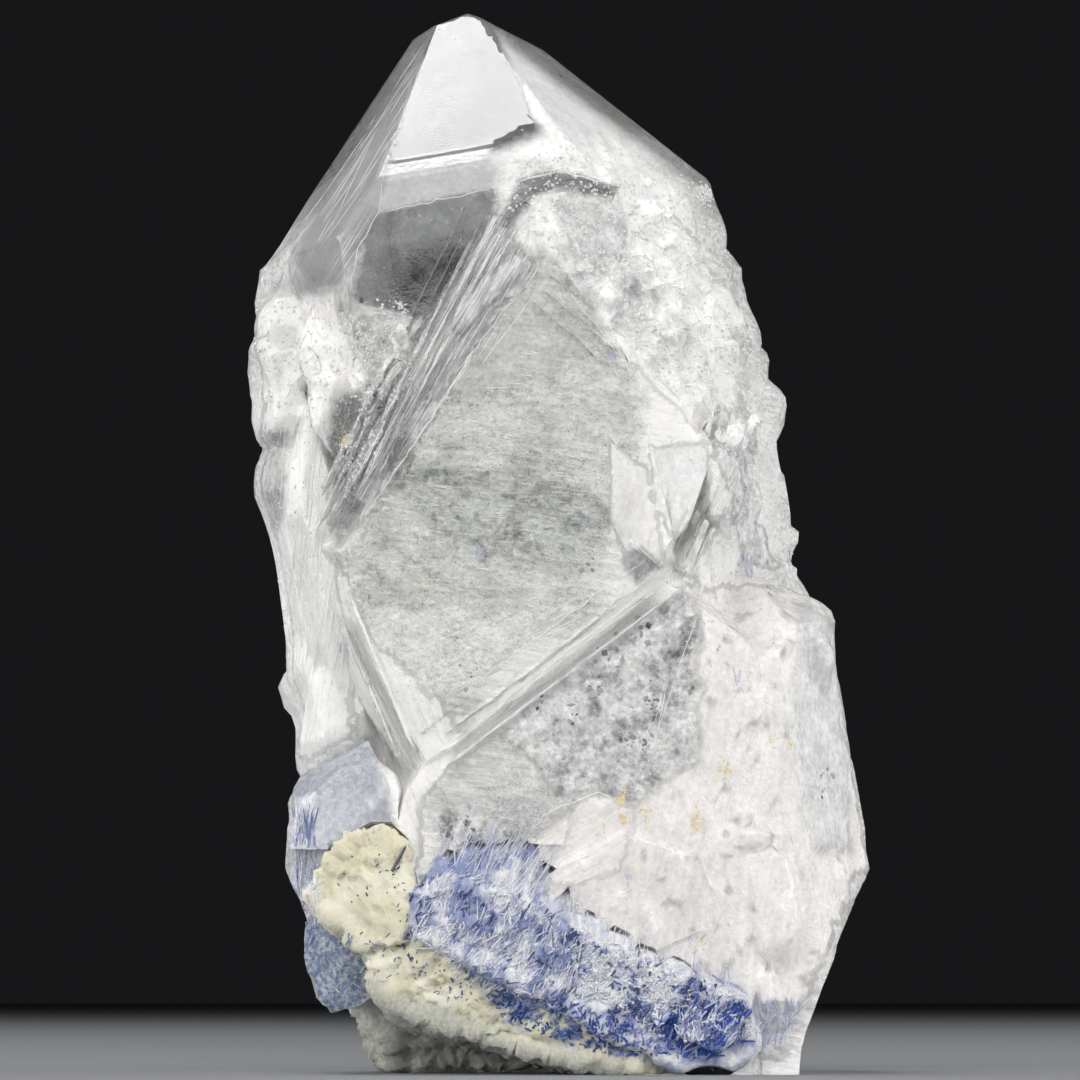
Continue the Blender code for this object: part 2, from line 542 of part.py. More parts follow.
def make_feldspar(specimen, cutters, centre, floor, blue_pockets):
    corners = (FELDSPAR_LUMP, FELDSPAR_BAND, FELDSPAR_FOOT)
    lumps = [roughened(hull_mesh(each), 0.3, 1.6, 60 + i) for i, each in enumerate(corners)]
    feldspar = add_object("feldspar_matrix", lumps[0], specimen, centre, helper=False)
    feldspar.data.materials.append(material("feldspar", CREAM_COLOUR, 0.8))
    for helper in pockets("feldspar_lump", lumps[1:], cutters, centre):
        boolean(feldspar, "UNION", helper)
    for cutter in [floor] + blue_pockets:
        boolean(feldspar, "DIFFERENCE", cutter)


def make_dumortierite(specimen, cutters, centre):
    corners = (BLUE_LEFT, BLUE_RIGHT)
    layer = [roughened(hull_mesh(each), 0.15, 1.6, 80 + i) for i, each in enumerate(corners)]
    spray = add_object("dumortierite_spray", layer[0], specimen, centre, helper=False)
    spray.data.materials.append(material("dumortierite", BLUE_COLOUR, 0.45))
    bundles = [bundle_mesh(*bundle) for bundle in BUNDLES]
    for helper in pockets("needle_bundle", layer[1:] + bundles, cutters, centre):
        boolean(spray, "UNION", helper)


def main():
    clear_scene()
    centre = bpy.data.objects.new("specimen_centre", None)
    bpy.context.scene.collection.objects.link(centre)
    centre.location = Vector(CENTRE_SHIFT) * MM
    specimen = new_collection("dumortierite_quartz_crystal")
    cutters = new_collection("cutters")

    breaks = add_breaks(cutters, centre)
    blue_shapes = [hull_mesh(corners, GAP) for corners in (BLUE_LEFT, BLUE_RIGHT)]
    blue_shapes += [bundle_mesh(*bundle, grow=GAP) for bundle in BUNDLES]
    blue_pockets = pockets("blue_pocket", blue_shapes, cutters, centre)

    make_quartz(specimen, cutters, centre, breaks, blue_pockets)
    make_feldspar(specimen, cutters, centre, breaks[0], blue_pockets)
    make_dumortierite(specimen, cutters, centre)


main()
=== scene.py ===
"""The dumortierite quartz crystal as it looks: clear and milky quartz, blue needles, cream feldspar.

Every length is in metres unless its name or comment says otherwise. X is to the right, Y away from the
front, Z up. Areas of the front are outlined in pixels of the 1080 pixel wide photograph. on_photo()
says which pixel a point of the specimen falls on, seen from the photograph's camera.
"""

import math
import random

import bmesh
import bpy
import numpy as np
from mathutils import Matrix, Vector
from mathutils.bvhtree import BVHTree


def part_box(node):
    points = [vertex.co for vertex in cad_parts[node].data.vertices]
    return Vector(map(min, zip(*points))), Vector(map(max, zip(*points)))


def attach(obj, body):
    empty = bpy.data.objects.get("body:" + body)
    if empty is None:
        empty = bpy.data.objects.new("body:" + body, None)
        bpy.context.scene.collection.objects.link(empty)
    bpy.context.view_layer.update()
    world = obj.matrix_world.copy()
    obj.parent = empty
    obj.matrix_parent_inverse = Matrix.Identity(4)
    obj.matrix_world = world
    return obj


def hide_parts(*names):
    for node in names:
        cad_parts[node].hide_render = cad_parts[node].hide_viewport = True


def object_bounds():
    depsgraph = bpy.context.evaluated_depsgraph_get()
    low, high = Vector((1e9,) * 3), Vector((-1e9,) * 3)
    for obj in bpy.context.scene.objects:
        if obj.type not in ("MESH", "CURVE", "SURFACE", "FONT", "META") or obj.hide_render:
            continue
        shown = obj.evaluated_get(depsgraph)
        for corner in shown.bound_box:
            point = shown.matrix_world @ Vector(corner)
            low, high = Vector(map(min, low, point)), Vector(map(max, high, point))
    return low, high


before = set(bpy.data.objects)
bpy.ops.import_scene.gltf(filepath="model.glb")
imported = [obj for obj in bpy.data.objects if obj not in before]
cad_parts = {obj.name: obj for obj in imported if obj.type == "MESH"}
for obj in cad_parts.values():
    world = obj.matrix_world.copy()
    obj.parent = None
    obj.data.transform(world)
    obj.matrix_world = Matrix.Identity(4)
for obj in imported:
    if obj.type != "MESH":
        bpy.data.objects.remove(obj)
cad_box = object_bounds()

MM = 0.001

# The photograph's camera: its place in millimetres, its tilt and half its angle of view as a slope
CAMERA_PLACE = (-0.534, -170.4065, 2.16)
CAMERA_TILT = math.atan(13.8 / 170)
HALF_VIEW = 16.2 / 170
PHOTO_MIDDLE = 540.0

BACKDROP = (0.0085, 0.0085, 0.0095)
FLOOR_COLOUR = (0.27, 0.28, 0.295)

# Longest edges in metres of the quartz mesh: on the sides and back, and on the front
SIDE_EDGE = 0.00048
FRONT_EDGE = 0.00025

QUARTZ_IOR = 1.544
PURE_WHITE = (0.99, 0.99, 0.98)

# What is painted on the points of the quartz and read by its material, besides the colour
PAINTED = ("milk", "rough", "broken", "lined", "grain_angle")

# Numbers that vary over the specimen

def corner_values(cells, seed):
    """A number from 0 to 1 for each whole-numbered corner, always the same for the same corner."""
    x, y, z = (cells[:, axis].astype(np.int64) for axis in range(3))
    mixed = (x * 374761393 + y * 668265263 + z * 362437 + seed * 974711) & 0xFFFFFFFF
    mixed = ((mixed ^ (mixed >> 13)) * 1274126177) & 0xFFFFFFFF
    return ((mixed ^ (mixed >> 16)) & 0xFFFF) / 65535.0


def noise(points, size, seed):
    """Smooth noise from 0 to 1 with cells of that size, in the points' own unit."""
    place = points / size
    cell = np.floor(place)
    share = place - cell
    share = share * share * (3 - 2 * share)
    total = np.zeros(len(points))
    for corner in range(8):
        step = np.array([corner & 1, corner >> 1 & 1, corner >> 2 & 1])
        weight = np.prod(np.where(step, share, 1 - share), axis=1)
        total += weight * corner_values(cell + step, seed)
    return total


def fractal(points, size, seed, octaves=3):
    total, weight, strength = 0.0, 0.0, 1.0
    for octave in range(octaves):
        total = total + strength * noise(points, size / 2 ** octave, seed + 17 * octave)
        weight += strength
        strength *= 0.55
    return total / weight


def mosaic(points, size, seed, tilt=0.7):
    """Blocks of random height with leaning tops, about 0 to 1, with blocks of that size."""
    place = points / np.array(size)
    base = np.floor(place)
    nearest = np.full(len(points), 9.0)
    height = np.zeros(len(points))
    for number in range(27):
        cell = base + np.array([number % 3 - 1, number // 3 % 3 - 1, number // 9 - 1])
        away = place - cell - np.stack([corner_values(cell, seed + axis) for axis in range(3)], axis=1)
        distance = np.sum(away * away, axis=1)
        leaning = np.stack([corner_values(cell, seed + 3 + axis) - 0.5 for axis in range(3)], axis=1)
        top = corner_values(cell, seed + 7) + tilt * np.sum(away * leaning, axis=1)
        height = np.where(distance < nearest, top, height)
        nearest = np.minimum(nearest, distance)
    return height


def smooth_step(low, high, value):
    share = np.clip((value - low) / (high - low), 0, 1)
    return share * share * (3 - 2 * share)


def on_photo(points):
    """The photograph's pixels that some points, in millimetres, fall on."""
    away = points - np.array(CAMERA_PLACE)
    depth = away[:, 1] * math.cos(CAMERA_TILT) + away[:, 2] * math.sin(CAMERA_TILT)
    height = away[:, 2] * math.cos(CAMERA_TILT) - away[:, 1] * math.sin(CAMERA_TILT)
    scale = PHOTO_MIDDLE / HALF_VIEW
    return np.stack([PHOTO_MIDDLE + away[:, 0] / depth * scale,
                     PHOTO_MIDDLE - height / depth * scale], axis=1)


def from_photo(pixel, depth_y):
    """The point, in millimetres, at a pixel and at a distance y from the middle."""
    scale = PHOTO_MIDDLE / HALF_VIEW
    across = (pixel[0] - PHOTO_MIDDLE) / scale
    rise = math.tan(CAMERA_TILT + math.atan((PHOTO_MIDDLE - pixel[1]) / scale))
    reach = depth_y - CAMERA_PLACE[1]
    slant = reach / math.cos(CAMERA_TILT)
    return Vector((CAMERA_PLACE[0] + across * slant, depth_y, CAMERA_PLACE[2] + rise * reach))


def inside_share(pixels, outline, soft):
    """1 well inside an outline, 0 well outside, and a soft change over that many pixels between."""
    nearest = np.full(len(pixels), 1e9)
    crossings = np.zeros(len(pixels), dtype=bool)
    ends = list(outline[1:]) + [outline[0]]
    for (x1, y1), (x2, y2) in zip(outline, ends):
        run = np.array([x2 - x1, y2 - y1], float)
        to_point = pixels - np.array([x1, y1], float)
        share = np.clip(to_point @ run / max(run @ run, 1e-9), 0, 1)
        nearest = np.minimum(nearest, np.linalg.norm(to_point - share[:, None] * run, axis=1))
        over = (y1 > pixels[:, 1]) != (y2 > pixels[:, 1])
        slope = (pixels[:, 1] - y1) / (y2 - y1 if y2 != y1 else 1e-9)
        crossings ^= over & (pixels[:, 0] < x1 + slope * (x2 - x1))
    signed = np.where(crossings, nearest, -nearest)
    return smooth_step(-soft, soft, signed)


# Meshes

def finer_copy(node, edge_limit, front_limit=None):
    """A copy of a CAD node's mesh with its long edges divided, finer on what faces the front."""
    mesh_data = bmesh.new()
    mesh_data.from_mesh(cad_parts[node].data)
    bmesh.ops.remove_doubles(mesh_data, verts=mesh_data.verts[:], dist=2e-7)
    bmesh.ops.triangulate(mesh_data, faces=mesh_data.faces[:])
    front_limit = front_limit or edge_limit
    for _ in range(8):
        long_edges = []
        for edge in mesh_data.edges:
            length = edge.calc_length()
            if length > front_limit:
                to_front = any(face.normal.y < -0.2 and face.calc_center_median().y < -0.001
                               for face in edge.link_faces)
                if length > edge_limit or to_front:
                    long_edges.append(edge)
        if not long_edges:
            break
        bmesh.ops.subdivide_edges(mesh_data, edges=long_edges, cuts=1, use_grid_fill=False)
        bmesh.ops.triangulate(mesh_data, faces=[f for f in mesh_data.faces if len(f.verts) > 3])
        mesh_data.normal_update()
    mesh_data.normal_update()
    return mesh_data


def evened(values, ends, rounds):
    """Values at points, each averaged with those of the points it is joined to."""
    for _ in range(rounds):
        total = values.copy()
        count = np.ones(len(values))
        for here, there in ((0, 1), (1, 0)):
            np.add.at(total, ends[:, here], values[ends[:, there]])
            np.add.at(count, ends[:, here], 1.0)
        values = total / count[:, None]
    return values


def mesh_arrays(mesh_data):
    """Places in mm and evened normals of the points of a mesh."""
    mesh_data.verts.ensure_lookup_table()
    mesh_data.verts.index_update()
    places = np.array([v.co[:] for v in mesh_data.verts]) / MM
    normals = np.array([v.normal[:] for v in mesh_data.verts])
    ends = np.array([(edge.verts[0].index, edge.verts[1].index) for edge in mesh_data.edges])
    normals = evened(normals, ends, 2)
    return places, normals / np.maximum(np.linalg.norm(normals, axis=1), 1e-9)[:, None]


def moved_mesh(name, mesh_data, places, normals, outwards):
    """A mesh of points moved outwards by that many mm, kept in the CAD box, and their new places."""
    low, high = (np.array(corner) / MM for corner in cad_box)
    moved = np.clip(places + normals * outwards[:, None], low, high)
    for vert, place in zip(mesh_data.verts, moved * MM):
        vert.co = place
    mesh = bpy.data.meshes.new(name)
    mesh_data.to_mesh(mesh)
    mesh_data.free()
    return mesh, moved


def in_box(place, margin):
    """Whether a point in mm is inside the CAD box by more than that margin."""
    low, high = (corner / MM for corner in cad_box)
    return all(low[axis] + margin < place[axis] < high[axis] - margin for axis in range(3))


def make_piece(name, mesh, material, smooth_angle=None, shown_for=()):
    piece = bpy.data.objects.new(name, mesh)
    bpy.context.scene.collection.objects.link(piece)
    mesh.materials.clear()
    mesh.materials.append(material)
    if smooth_angle is not None:
        mesh.shade_smooth()
        mesh.set_sharp_from_angle(angle=math.radians(smooth_angle))
    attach(piece, "root")
    if shown_for:
        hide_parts(*shown_for)
    return piece


def write_values(mesh, values_by_name):
    for name, values in values_by_name.items():
        layer = mesh.attributes.new(name, "FLOAT", "POINT")
        layer.data.foreach_set("value", values.astype(np.float32))


def write_tint(mesh, colours):
    layer = mesh.attributes.new("tint", "FLOAT_COLOR", "POINT")
    flat = np.ones((len(colours), 4), np.float32)
    flat[:, :3] = colours
    layer.data.foreach_set("color", flat.ravel())


# Materials

class Nodes:
    """Makes shader nodes and links them, so that a material reads as a list of steps."""

    def __init__(self, name):
        self.material = bpy.data.materials.new(name)
        self.material.use_nodes = True
        self.tree = self.material.node_tree
        self.shader = self.tree.nodes["Principled BSDF"]
        self.place = self.node("ShaderNodeTexCoord", {}).outputs["Object"]

    def join(self, source, target):
        if isinstance(source, (int, float)):
            target.default_value = source
        elif isinstance(source, tuple):
            target.default_value = (*source, 1.0)[:len(target.default_value)]
        else:
            self.tree.links.new(source, target)

    def node(self, kind, sockets, **settings):
        """A new node, each of whose named sockets gets a value or the output of another node."""
        made = self.tree.nodes.new(kind)
        for key, value in settings.items():
            setattr(made, key, value)
        for key, value in sockets.items():
            self.join(value, made.inputs[key])
        return made

    def set(self, **values):
        for key, value in values.items():
            self.join(value, self.shader.inputs[key.replace("_", " ")])

    def value(self, name):
        return self.node("ShaderNodeAttribute", {}, attribute_name=name).outputs["Fac"]

    def tint(self):
        return self.node("ShaderNodeAttribute", {}, attribute_name="tint").outputs["Color"]

    def math(self, operation, first, second, clamp):
        sockets = {0: first, 1: second}
        return self.node("ShaderNodeMath", sockets, operation=operation, use_clamp=clamp).outputs[0]

    def plus(self, first, second, clamp=False):
        return self.math("ADD", first, second, clamp)

    def minus(self, first, second, clamp=False):
        return self.math("SUBTRACT", first, second, clamp)

    def times(self, first, second):
        return self.math("MULTIPLY", first, second, False)

    def stretched(self, scale, turn=(0.0, 0.0, 0.0), vector=None):
        sockets = {"Scale": scale, "Rotation": turn, "Vector": vector or self.place}
        return self.node("ShaderNodeMapping", sockets).outputs[0]

    def turned(self, angle, scale):
        """Places turned about Y by an angle, then stretched."""
        sockets = {"Vector": self.place, "Angle": angle}
        made = self.node("ShaderNodeVectorRotate", sockets, rotation_type="Y_AXIS")
        return self.stretched(scale, vector=made.outputs[0])

    def grain(self, size, detail, roughness, vector=None):
        """Noise with cells of that size in metres."""
        sockets = {"Scale": 1.0 / size, "Detail": detail, "Roughness": roughness}
        sockets["Vector"] = vector or self.place
        return self.node("ShaderNodeTexNoise", sockets).outputs["Fac"]

    def cells(self, size):
        sockets = {"Scale": 1.0 / size, "Vector": self.place}
        return self.node("ShaderNodeTexVoronoi", sockets).outputs["Distance"]

    def span(self, value, low, high, to_low=0.0, to_high=1.0):
        sockets = {"Value": value, "From Min": low, "From Max": high, "To Min": to_low, "To Max": to_high}
        return self.node("ShaderNodeMapRange", sockets, interpolation_type="SMOOTHSTEP").outputs["Result"]

    def mix(self, share, first, second, blend="MIX"):
        sockets = {"Factor": share, 6: first, 7: second}
        return self.node("ShaderNodeMix", sockets, data_type="RGBA", blend_type=blend).outputs[2]

    def darker(self, colour, by):
        return self.mix(1.0, colour, by, "MULTIPLY")

    def bump(self, height, distance, strength):
        sockets = {"Distance": distance, "Strength": strength, "Height": height}
        return self.node("ShaderNodeBump", sockets).outputs[0]


def quartz_material():
    """Clear where the painted milk is 0 and white where it is 1, with clouds and growth lines between."""
    nodes = Nodes("quartz")
    tint = nodes.tint()
    milk, rough, broken, lined, grain_angle = (nodes.value(name) for name in PAINTED)

    cloud = nodes.grain(0.0007, 4.0, 0.6)
    fine = nodes.grain(0.00016, 3.0, 0.6)
    along_grain = nodes.turned(grain_angle, (0.10, 1.0, 1.0))
    lines = nodes.grain(0.00016, 4.0, 0.62, along_grain)
    uneven = nodes.plus(nodes.times(nodes.minus(cloud, 0.5), 2.0), nodes.times(nodes.minus(fine, 0.5), 1.6))
    milky = nodes.plus(milk, nodes.times(uneven, broken))
    line_milk = nodes.times(nodes.minus(lines, 0.5), 2.6)
    milky = nodes.plus(milky, nodes.times(line_milk, lined), clamp=True)
    nodes.set(Transmission_Weight=nodes.minus(1.0, milky, clamp=True))
    nodes.set(Base_Color=nodes.mix(nodes.span(fine, 0.35, 0.7), tint, nodes.mix(0.5, tint, PURE_WHITE)))
    grainy = nodes.times(nodes.span(fine, 0.3, 0.7, 0.6, 1.25), rough)
    nodes.set(Roughness=nodes.plus(nodes.times(grainy, 0.5), 0.02, clamp=True))

    grit = nodes.times(nodes.grain(0.00011, 3.0, 0.6), rough)
    relief = nodes.plus(grit, nodes.times(lines, lined))
    nodes.set(Normal=nodes.bump(relief, 0.00018, 1.0))
    nodes.shader.subsurface_method = "BURLEY"
    nodes.set(IOR=QUARTZ_IOR, Subsurface_Weight=0.4, Subsurface_Radius=(1.0, 1.0, 0.97),
              Subsurface_Scale=0.0011)
    return nodes.material


def speckled(name, size, share, speck, low_rough, high_rough):
    """Nodes for a painted colour with specks of that size, which take that share of another colour."""
    nodes = Nodes(name)
    tint = nodes.tint()
    fine = nodes.grain(size, 3.0, 0.6)
    nodes.set(Base_Color=nodes.mix(nodes.span(fine, 0.35, 0.7), tint, nodes.mix(share, tint, speck)))
    nodes.set(Roughness=nodes.span(fine, 0.3, 0.7, low_rough, high_rough))
    return nodes


def detail_material(name, transmission):
    """Small grains and lines on the quartz."""
    nodes = speckled(name, 0.00006, 0.08, PURE_WHITE, 0.10, 0.35)
    nodes.set(Transmission_Weight=transmission, IOR=QUARTZ_IOR)
    return nodes.material


def stain_material():
    return speckled("iron_stain", 0.00005, 0.5, (0.9, 0.82, 0.6), 0.45, 0.75).material


def feldspar_material():
    nodes = Nodes("feldspar")
    tint = nodes.tint()
    cloud = nodes.grain(0.0009, 4.0, 0.6)
    fine = nodes.grain(0.00012, 3.0, 0.65)
    colour = nodes.mix(nodes.span(cloud, 0.35, 0.65), tint, nodes.darker(tint, (0.90, 0.90, 0.88)))
    colour = nodes.mix(nodes.span(fine, 0.3, 0.75, 0.0, 0.45), colour, (0.92, 0.90, 0.78))
    pits = nodes.cells(0.00035)
    colour = nodes.mix(nodes.span(pits, 0.10, 0.2, 0.35, 0.0), colour, (0.55, 0.52, 0.36))
    nodes.set(Base_Color=colour, Roughness=nodes.span(fine, 0.3, 0.7, 0.55, 0.85))
    relief = nodes.plus(fine, nodes.times(nodes.span(pits, 0.05, 0.25), 0.5))
    nodes.set(Normal=nodes.bump(relief, 0.00004, 0.8), Subsurface_Weight=0.15, Subsurface_Scale=0.0004)
    return nodes.material


def blue_layer_material():
    nodes = Nodes("dumortierite_layer")
    tint = nodes.tint()
    streaks = nodes.grain(0.00022, 3.0, 0.6, nodes.stretched((1.0, 1.0, 0.3), (0.0, 0.5, 0.0)))
    fine = nodes.grain(0.0001, 3.0, 0.6)
    colour = nodes.mix(nodes.span(streaks, 0.38, 0.62), nodes.darker(tint, (0.7, 0.73, 0.84)), tint)
    colour = nodes.mix(nodes.span(fine, 0.55, 0.75, 0.0, 0.6), colour, (0.82, 0.83, 0.88))
    nodes.set(Base_Color=colour, Roughness=nodes.span(fine, 0.3, 0.7, 0.3, 0.6))
    nodes.set(Normal=nodes.bump(nodes.plus(streaks, fine), 0.00004, 0.8))
    return nodes.material


def needle_material():
    nodes = Nodes("dumortierite_needles")
    tint = nodes.tint()
    streaks = nodes.grain(0.00006, 2.0, 0.5)
    colour = nodes.mix(nodes.span(streaks, 0.35, 0.65), nodes.darker(tint, (0.72, 0.75, 0.86)), tint)
    nodes.set(Base_Color=colour, Roughness=nodes.span(streaks, 0.3, 0.7, 0.2, 0.42))
    return nodes.material


# The quartz

WHITE = (0.93, 0.925, 0.92)
COOL = (0.93, 0.94, 0.95)
GREEN = (0.88, 0.91, 0.88)
PINK = (0.95, 0.915, 0.90)
LOBE_BLUE = (0.15, 0.22, 0.37)

# Areas of the front, each with its outline in photograph pixels, how soft its border is in pixels, how
# milky, how rough and how broken up it is, its colour, which way its fine lines run, in degrees above the
# horizontal, and how strong they are. Later areas lie over earlier ones.
AREAS = (
    ("tip_front", ((440, 10), (495, 15), (548, 140), (378, 212)), 3, 0.10, 0.0, 0.05, COOL, -9, 0.0),
    ("tip_left", ((440, 5), (385, 165), (378, 210), (330, 300), (250, 305), (300, 220)), 3,
     0.32, 0.05, 0.1, COOL, 58, 0.03),
    ("tip_right", ((490, 15), (545, 138), (610, 140), (720, 185), (600, 90)), 4, 0.85, 0.1, 0.2, COOL,
     -9, 0.0),
    ("window", ((378, 212), (500, 185), (505, 215), (440, 330), (400, 315), (345, 300), (352, 250)), 4,
     0.06, 0.12, 0.22, COOL, -9, 0.0),
    ("tip_strip", ((388, 170), (548, 138), (503, 186), (378, 212)), 2, 0.5, 0.10, 0.15, COOL, -9, 0.0),
    ("left_edge_band", ((330, 300), (366, 240), (350, 310), (335, 400), (320, 330)), 5,
     0.5, 0.25, 0.3, WHITE, 60, 0.1),
    ("left_cloud", ((340, 312), (400, 322), (440, 338), (380, 400), (330, 380)), 8, 0.62, 0.5, 0.6, WHITE,
     40, 0.15),
    ("left_ridge", ((530, 195), (500, 200), (335, 480), (335, 548), (385, 500), (545, 285)), 6,
     0.36, 0.15, 0.3, COOL, 61, 0.5),
    ("upper_crust", ((495, 160), (545, 135), (620, 138), (715, 180), (745, 280), (785, 430), (725, 450),
                     (650, 380), (570, 300), (500, 225)), 10, 1.05, 0.4, 0.3, WHITE, -60, 0.08),
    ("crust_window", ((560, 195), (625, 200), (650, 300), (640, 340), (600, 300), (560, 250)), 8,
     0.65, 0.3, 0.45, COOL, -55, 0.25),
    ("roof", ((497, 222), (520, 178), (560, 170), (622, 185), (618, 197), (560, 187), (528, 196),
              (506, 228)), 3, 0.05, 0.2, 0.3, COOL, 0, 0.1),
    ("blob", ((530, 228), (556, 222), (570, 238), (562, 258), (540, 264), (526, 248)), 3,
     0.95, 0.15, 0.1, WHITE, 0, 0.0),
    ("rod", ((562, 303), (572, 296), (605, 326), (600, 336)), 2, 0.9, 0.15, 0.1, WHITE, -43, 0.2),
    ("chunk", ((584, 286), (608, 272), (626, 298), (602, 312)), 4, 0.98, 0.2, 0.1, WHITE, 0, 0.0),
    ("bright_patch", ((630, 200), (655, 194), (670, 212), (642, 220)), 3, 1.0, 0.1, 0.0, WHITE, 0, 0.0),
    ("left_plumes", ((245, 300), (330, 292), (340, 330), (372, 402), (330, 412), (255, 405)), 6,
     1.05, 0.25, 0.2, WHITE, 80, 0.2),
    ("left_cell", ((330, 402), (378, 385), (398, 400), (372, 470), (345, 500), (328, 450)), 6,
     0.12, 0.3, 0.7, COOL, 60, 0.1),
    ("left_flutes", ((250, 402), (330, 405), (330, 520), (352, 640), (350, 740), (290, 765), (270, 560)), 8,
     1.0, 0.12, 0.15, WHITE, 82, 0.25),
    ("flute_gap", ((266, 425), (288, 430), (284, 520), (274, 545), (262, 480)), 5, 0.3, 0.1, 0.3, COOL,
     82, 0.3),
    ("lozenge", ((545, 255), (600, 330), (650, 400), (640, 470), (612, 545), (520, 630), (430, 690),
                 (370, 650), (338, 560), (400, 470), (480, 340)), 12, 0.66, 0.8, 0.45, GREEN, -7, 0.4),
    ("slab", ((454, 313), (466, 294), (492, 271), (519, 256), (524, 266), (496, 298), (473, 324),
              (458, 331)), 3, 0.72, 0.15, 0.2, COOL, 45, 0.25),
    ("dark_patch", ((388, 436), (408, 434), (414, 456), (398, 486), (384, 476)), 6, 0.1, 0.3, 0.6,
     (0.80, 0.82, 0.81), 61, 0.3),
    ("dark_notch", ((410, 396), (430, 388), (434, 402), (418, 414)), 4, 0.15, 0.3, 0.5, COOL, 61, 0.3),
    ("lozenge_top", ((545, 260), (600, 330), (560, 380), (440, 400), (480, 340)), 12,
     0.52, 0.35, 0.3, (0.78, 0.81, 0.79), -7, 0.2),
    ("lozenge_dark", ((400, 470), (470, 460), (580, 490), (610, 530), (560, 560), (440, 540)), 16,
     0.55, 0.85, 0.55, (0.76, 0.80, 0.77), -10, 0.4),
    ("lozenge_foot", ((360, 600), (480, 610), (560, 610), (480, 680), (430, 700), (375, 660)), 14,
     0.85, 0.6, 0.35, (0.90, 0.91, 0.87), 20, 0.3),
    ("crack", ((478, 562), (520, 500), (555, 478), (600, 500), (628, 526), (620, 532), (596, 510),
               (557, 488), (526, 508), (486, 566)), 3, 0.3, 0.5, 0.4, (0.75, 0.78, 0.76), 0, 0.1),
    ("left_facet", ((612, 440), (648, 470), (668, 570), (632, 560), (610, 520)), 4, 0.85, 0.12, 0.15, WHITE,
     80, 0.15),
    ("right_facet", ((650, 445), (705, 440), (712, 480), (672, 535), (655, 500)), 4, 0.9, 0.2, 0.12,
     (0.80, 0.80, 0.81), 80, 0.1),
    ("facet_shade", ((640, 545), (668, 575), (640, 590), (622, 560)), 5, 0.3, 0.3, 0.4, COOL, 37, 0.2),
    ("right_strip", ((664, 575), (742, 455), (735, 500), (690, 575)), 4, 1.0, 0.25, 0.1, WHITE, 59, 0.3),
    ("right_wall", ((715, 440), (790, 420), (800, 580), (745, 560), (735, 500)), 8, 0.7, 0.4, 0.45, COOL,
     80, 0.3),
    ("low_ridge", ((668, 560), (695, 580), (560, 680), (470, 755), (395, 790), (430, 745), (560, 650)), 5,
     1.05, 0.3, 0.2, WHITE, 37, 0.4),
    ("lower_left", ((335, 560), (372, 640), (440, 700), (470, 740), (420, 800), (415, 880), (372, 800),
                    (345, 640)), 8, 1.0, 0.2, 0.12, WHITE, -66, 0.25),
    ("mottled", ((500, 735), (600, 650), (690, 590), (700, 660), (700, 760), (640, 800), (560, 790)), 10,
     0.62, 0.35, 0.7, COOL, 60, 0.1),
    ("lower_right", ((700, 590), (800, 585), (835, 640), (870, 860), (800, 1010), (700, 985), (560, 920),
                     (520, 850), (640, 800), (700, 760)), 10, 0.92, 0.2, 0.2, PINK, 78, 0.14),
    ("lower_right_face", ((800, 600), (835, 640), (855, 850), (815, 850), (790, 740)), 5,
     0.7, 0.15, 0.35, COOL, 75, 0.2),
    ("low_hollow", ((425, 808), (490, 815), (520, 840), (490, 868), (450, 860)), 6, 0.8, 0.35, 0.5,
     (0.92, 0.92, 0.92), -20, 0.1),
    ("shelf", ((520, 850), (600, 790), (640, 810), (620, 870), (560, 890)), 6, 0.98, 0.15, 0.2, PINK,
     30, 0.25),
    ("corner_crystal", ((292, 782), (370, 735), (402, 855), (370, 850), (300, 870)), 4,
     0.6, 0.08, 0.2, (0.60, 0.64, 0.75), 30, 0.02),
    ("corner_side", ((285, 800), (318, 850), (318, 920), (300, 930), (285, 880)), 6,
     0.8, 0.3, 0.5, (0.80, 0.83, 0.93), 85, 0.3),
    ("lobe", ((285, 890), (340, 920), (410, 965), (400, 1000), (335, 1020), (300, 1000)), 8,
     0.92, 0.4, 0.15, LOBE_BLUE, 20, 0.04),
    ("blue_stain", ((405, 880), (480, 885), (560, 925), (660, 965), (760, 1000), (790, 1050), (640, 1075),
                    (470, 1010), (400, 940)), 12, 0.88, 0.3, 0.35, (0.86, 0.88, 0.95), 60, 0.2),
)

# Heights in mm between which the milky quartz turns into the clear tip
CLEAR_FROM = (24.5, 26.5)

# Clear areas of the back, seen through the front: what they show is the dark behind the specimen
BACK_WINDOW = ((330, 200), (500, 180), (520, 230), (440, 380), (400, 520), (330, 520), (320, 320))

# Size of the blocks that a surface is broken into and how far the lowest dips, both in mm
BLOCKS = {
    "left_cloud": (0.4, 0.2), "upper_crust": (0.85, 0.25), "crust_window": (0.5, 0.24),
    "left_plumes": (0.7, 0.24), "left_cell": (0.35, 0.18), "lozenge": (0.3, 0.10),
    "lozenge_dark": (0.25, 0.10), "lozenge_foot": (0.3, 0.08), "right_wall": (0.7, 0.12),
    "lower_left": (0.9, 0.05), "mottled": (0.6, 0.08), "lower_right": (1.4, 0.10),
    "low_hollow": (0.35, 0.15), "shelf": (1.0, 0.10), "corner_side": (0.4, 0.1), "lobe": (0.6, 0.15),
}
OTHER_BLOCKS = (1.0, 0.10)

# Small forms that stand out from the front, in mm, and grooves that go in
RAISED = {
    "slab": 0.13, "blob": 0.2, "rod": 0.14, "chunk": 0.14, "bright_patch": 0.1, "crack": -0.10,
    "roof": -0.1,
}

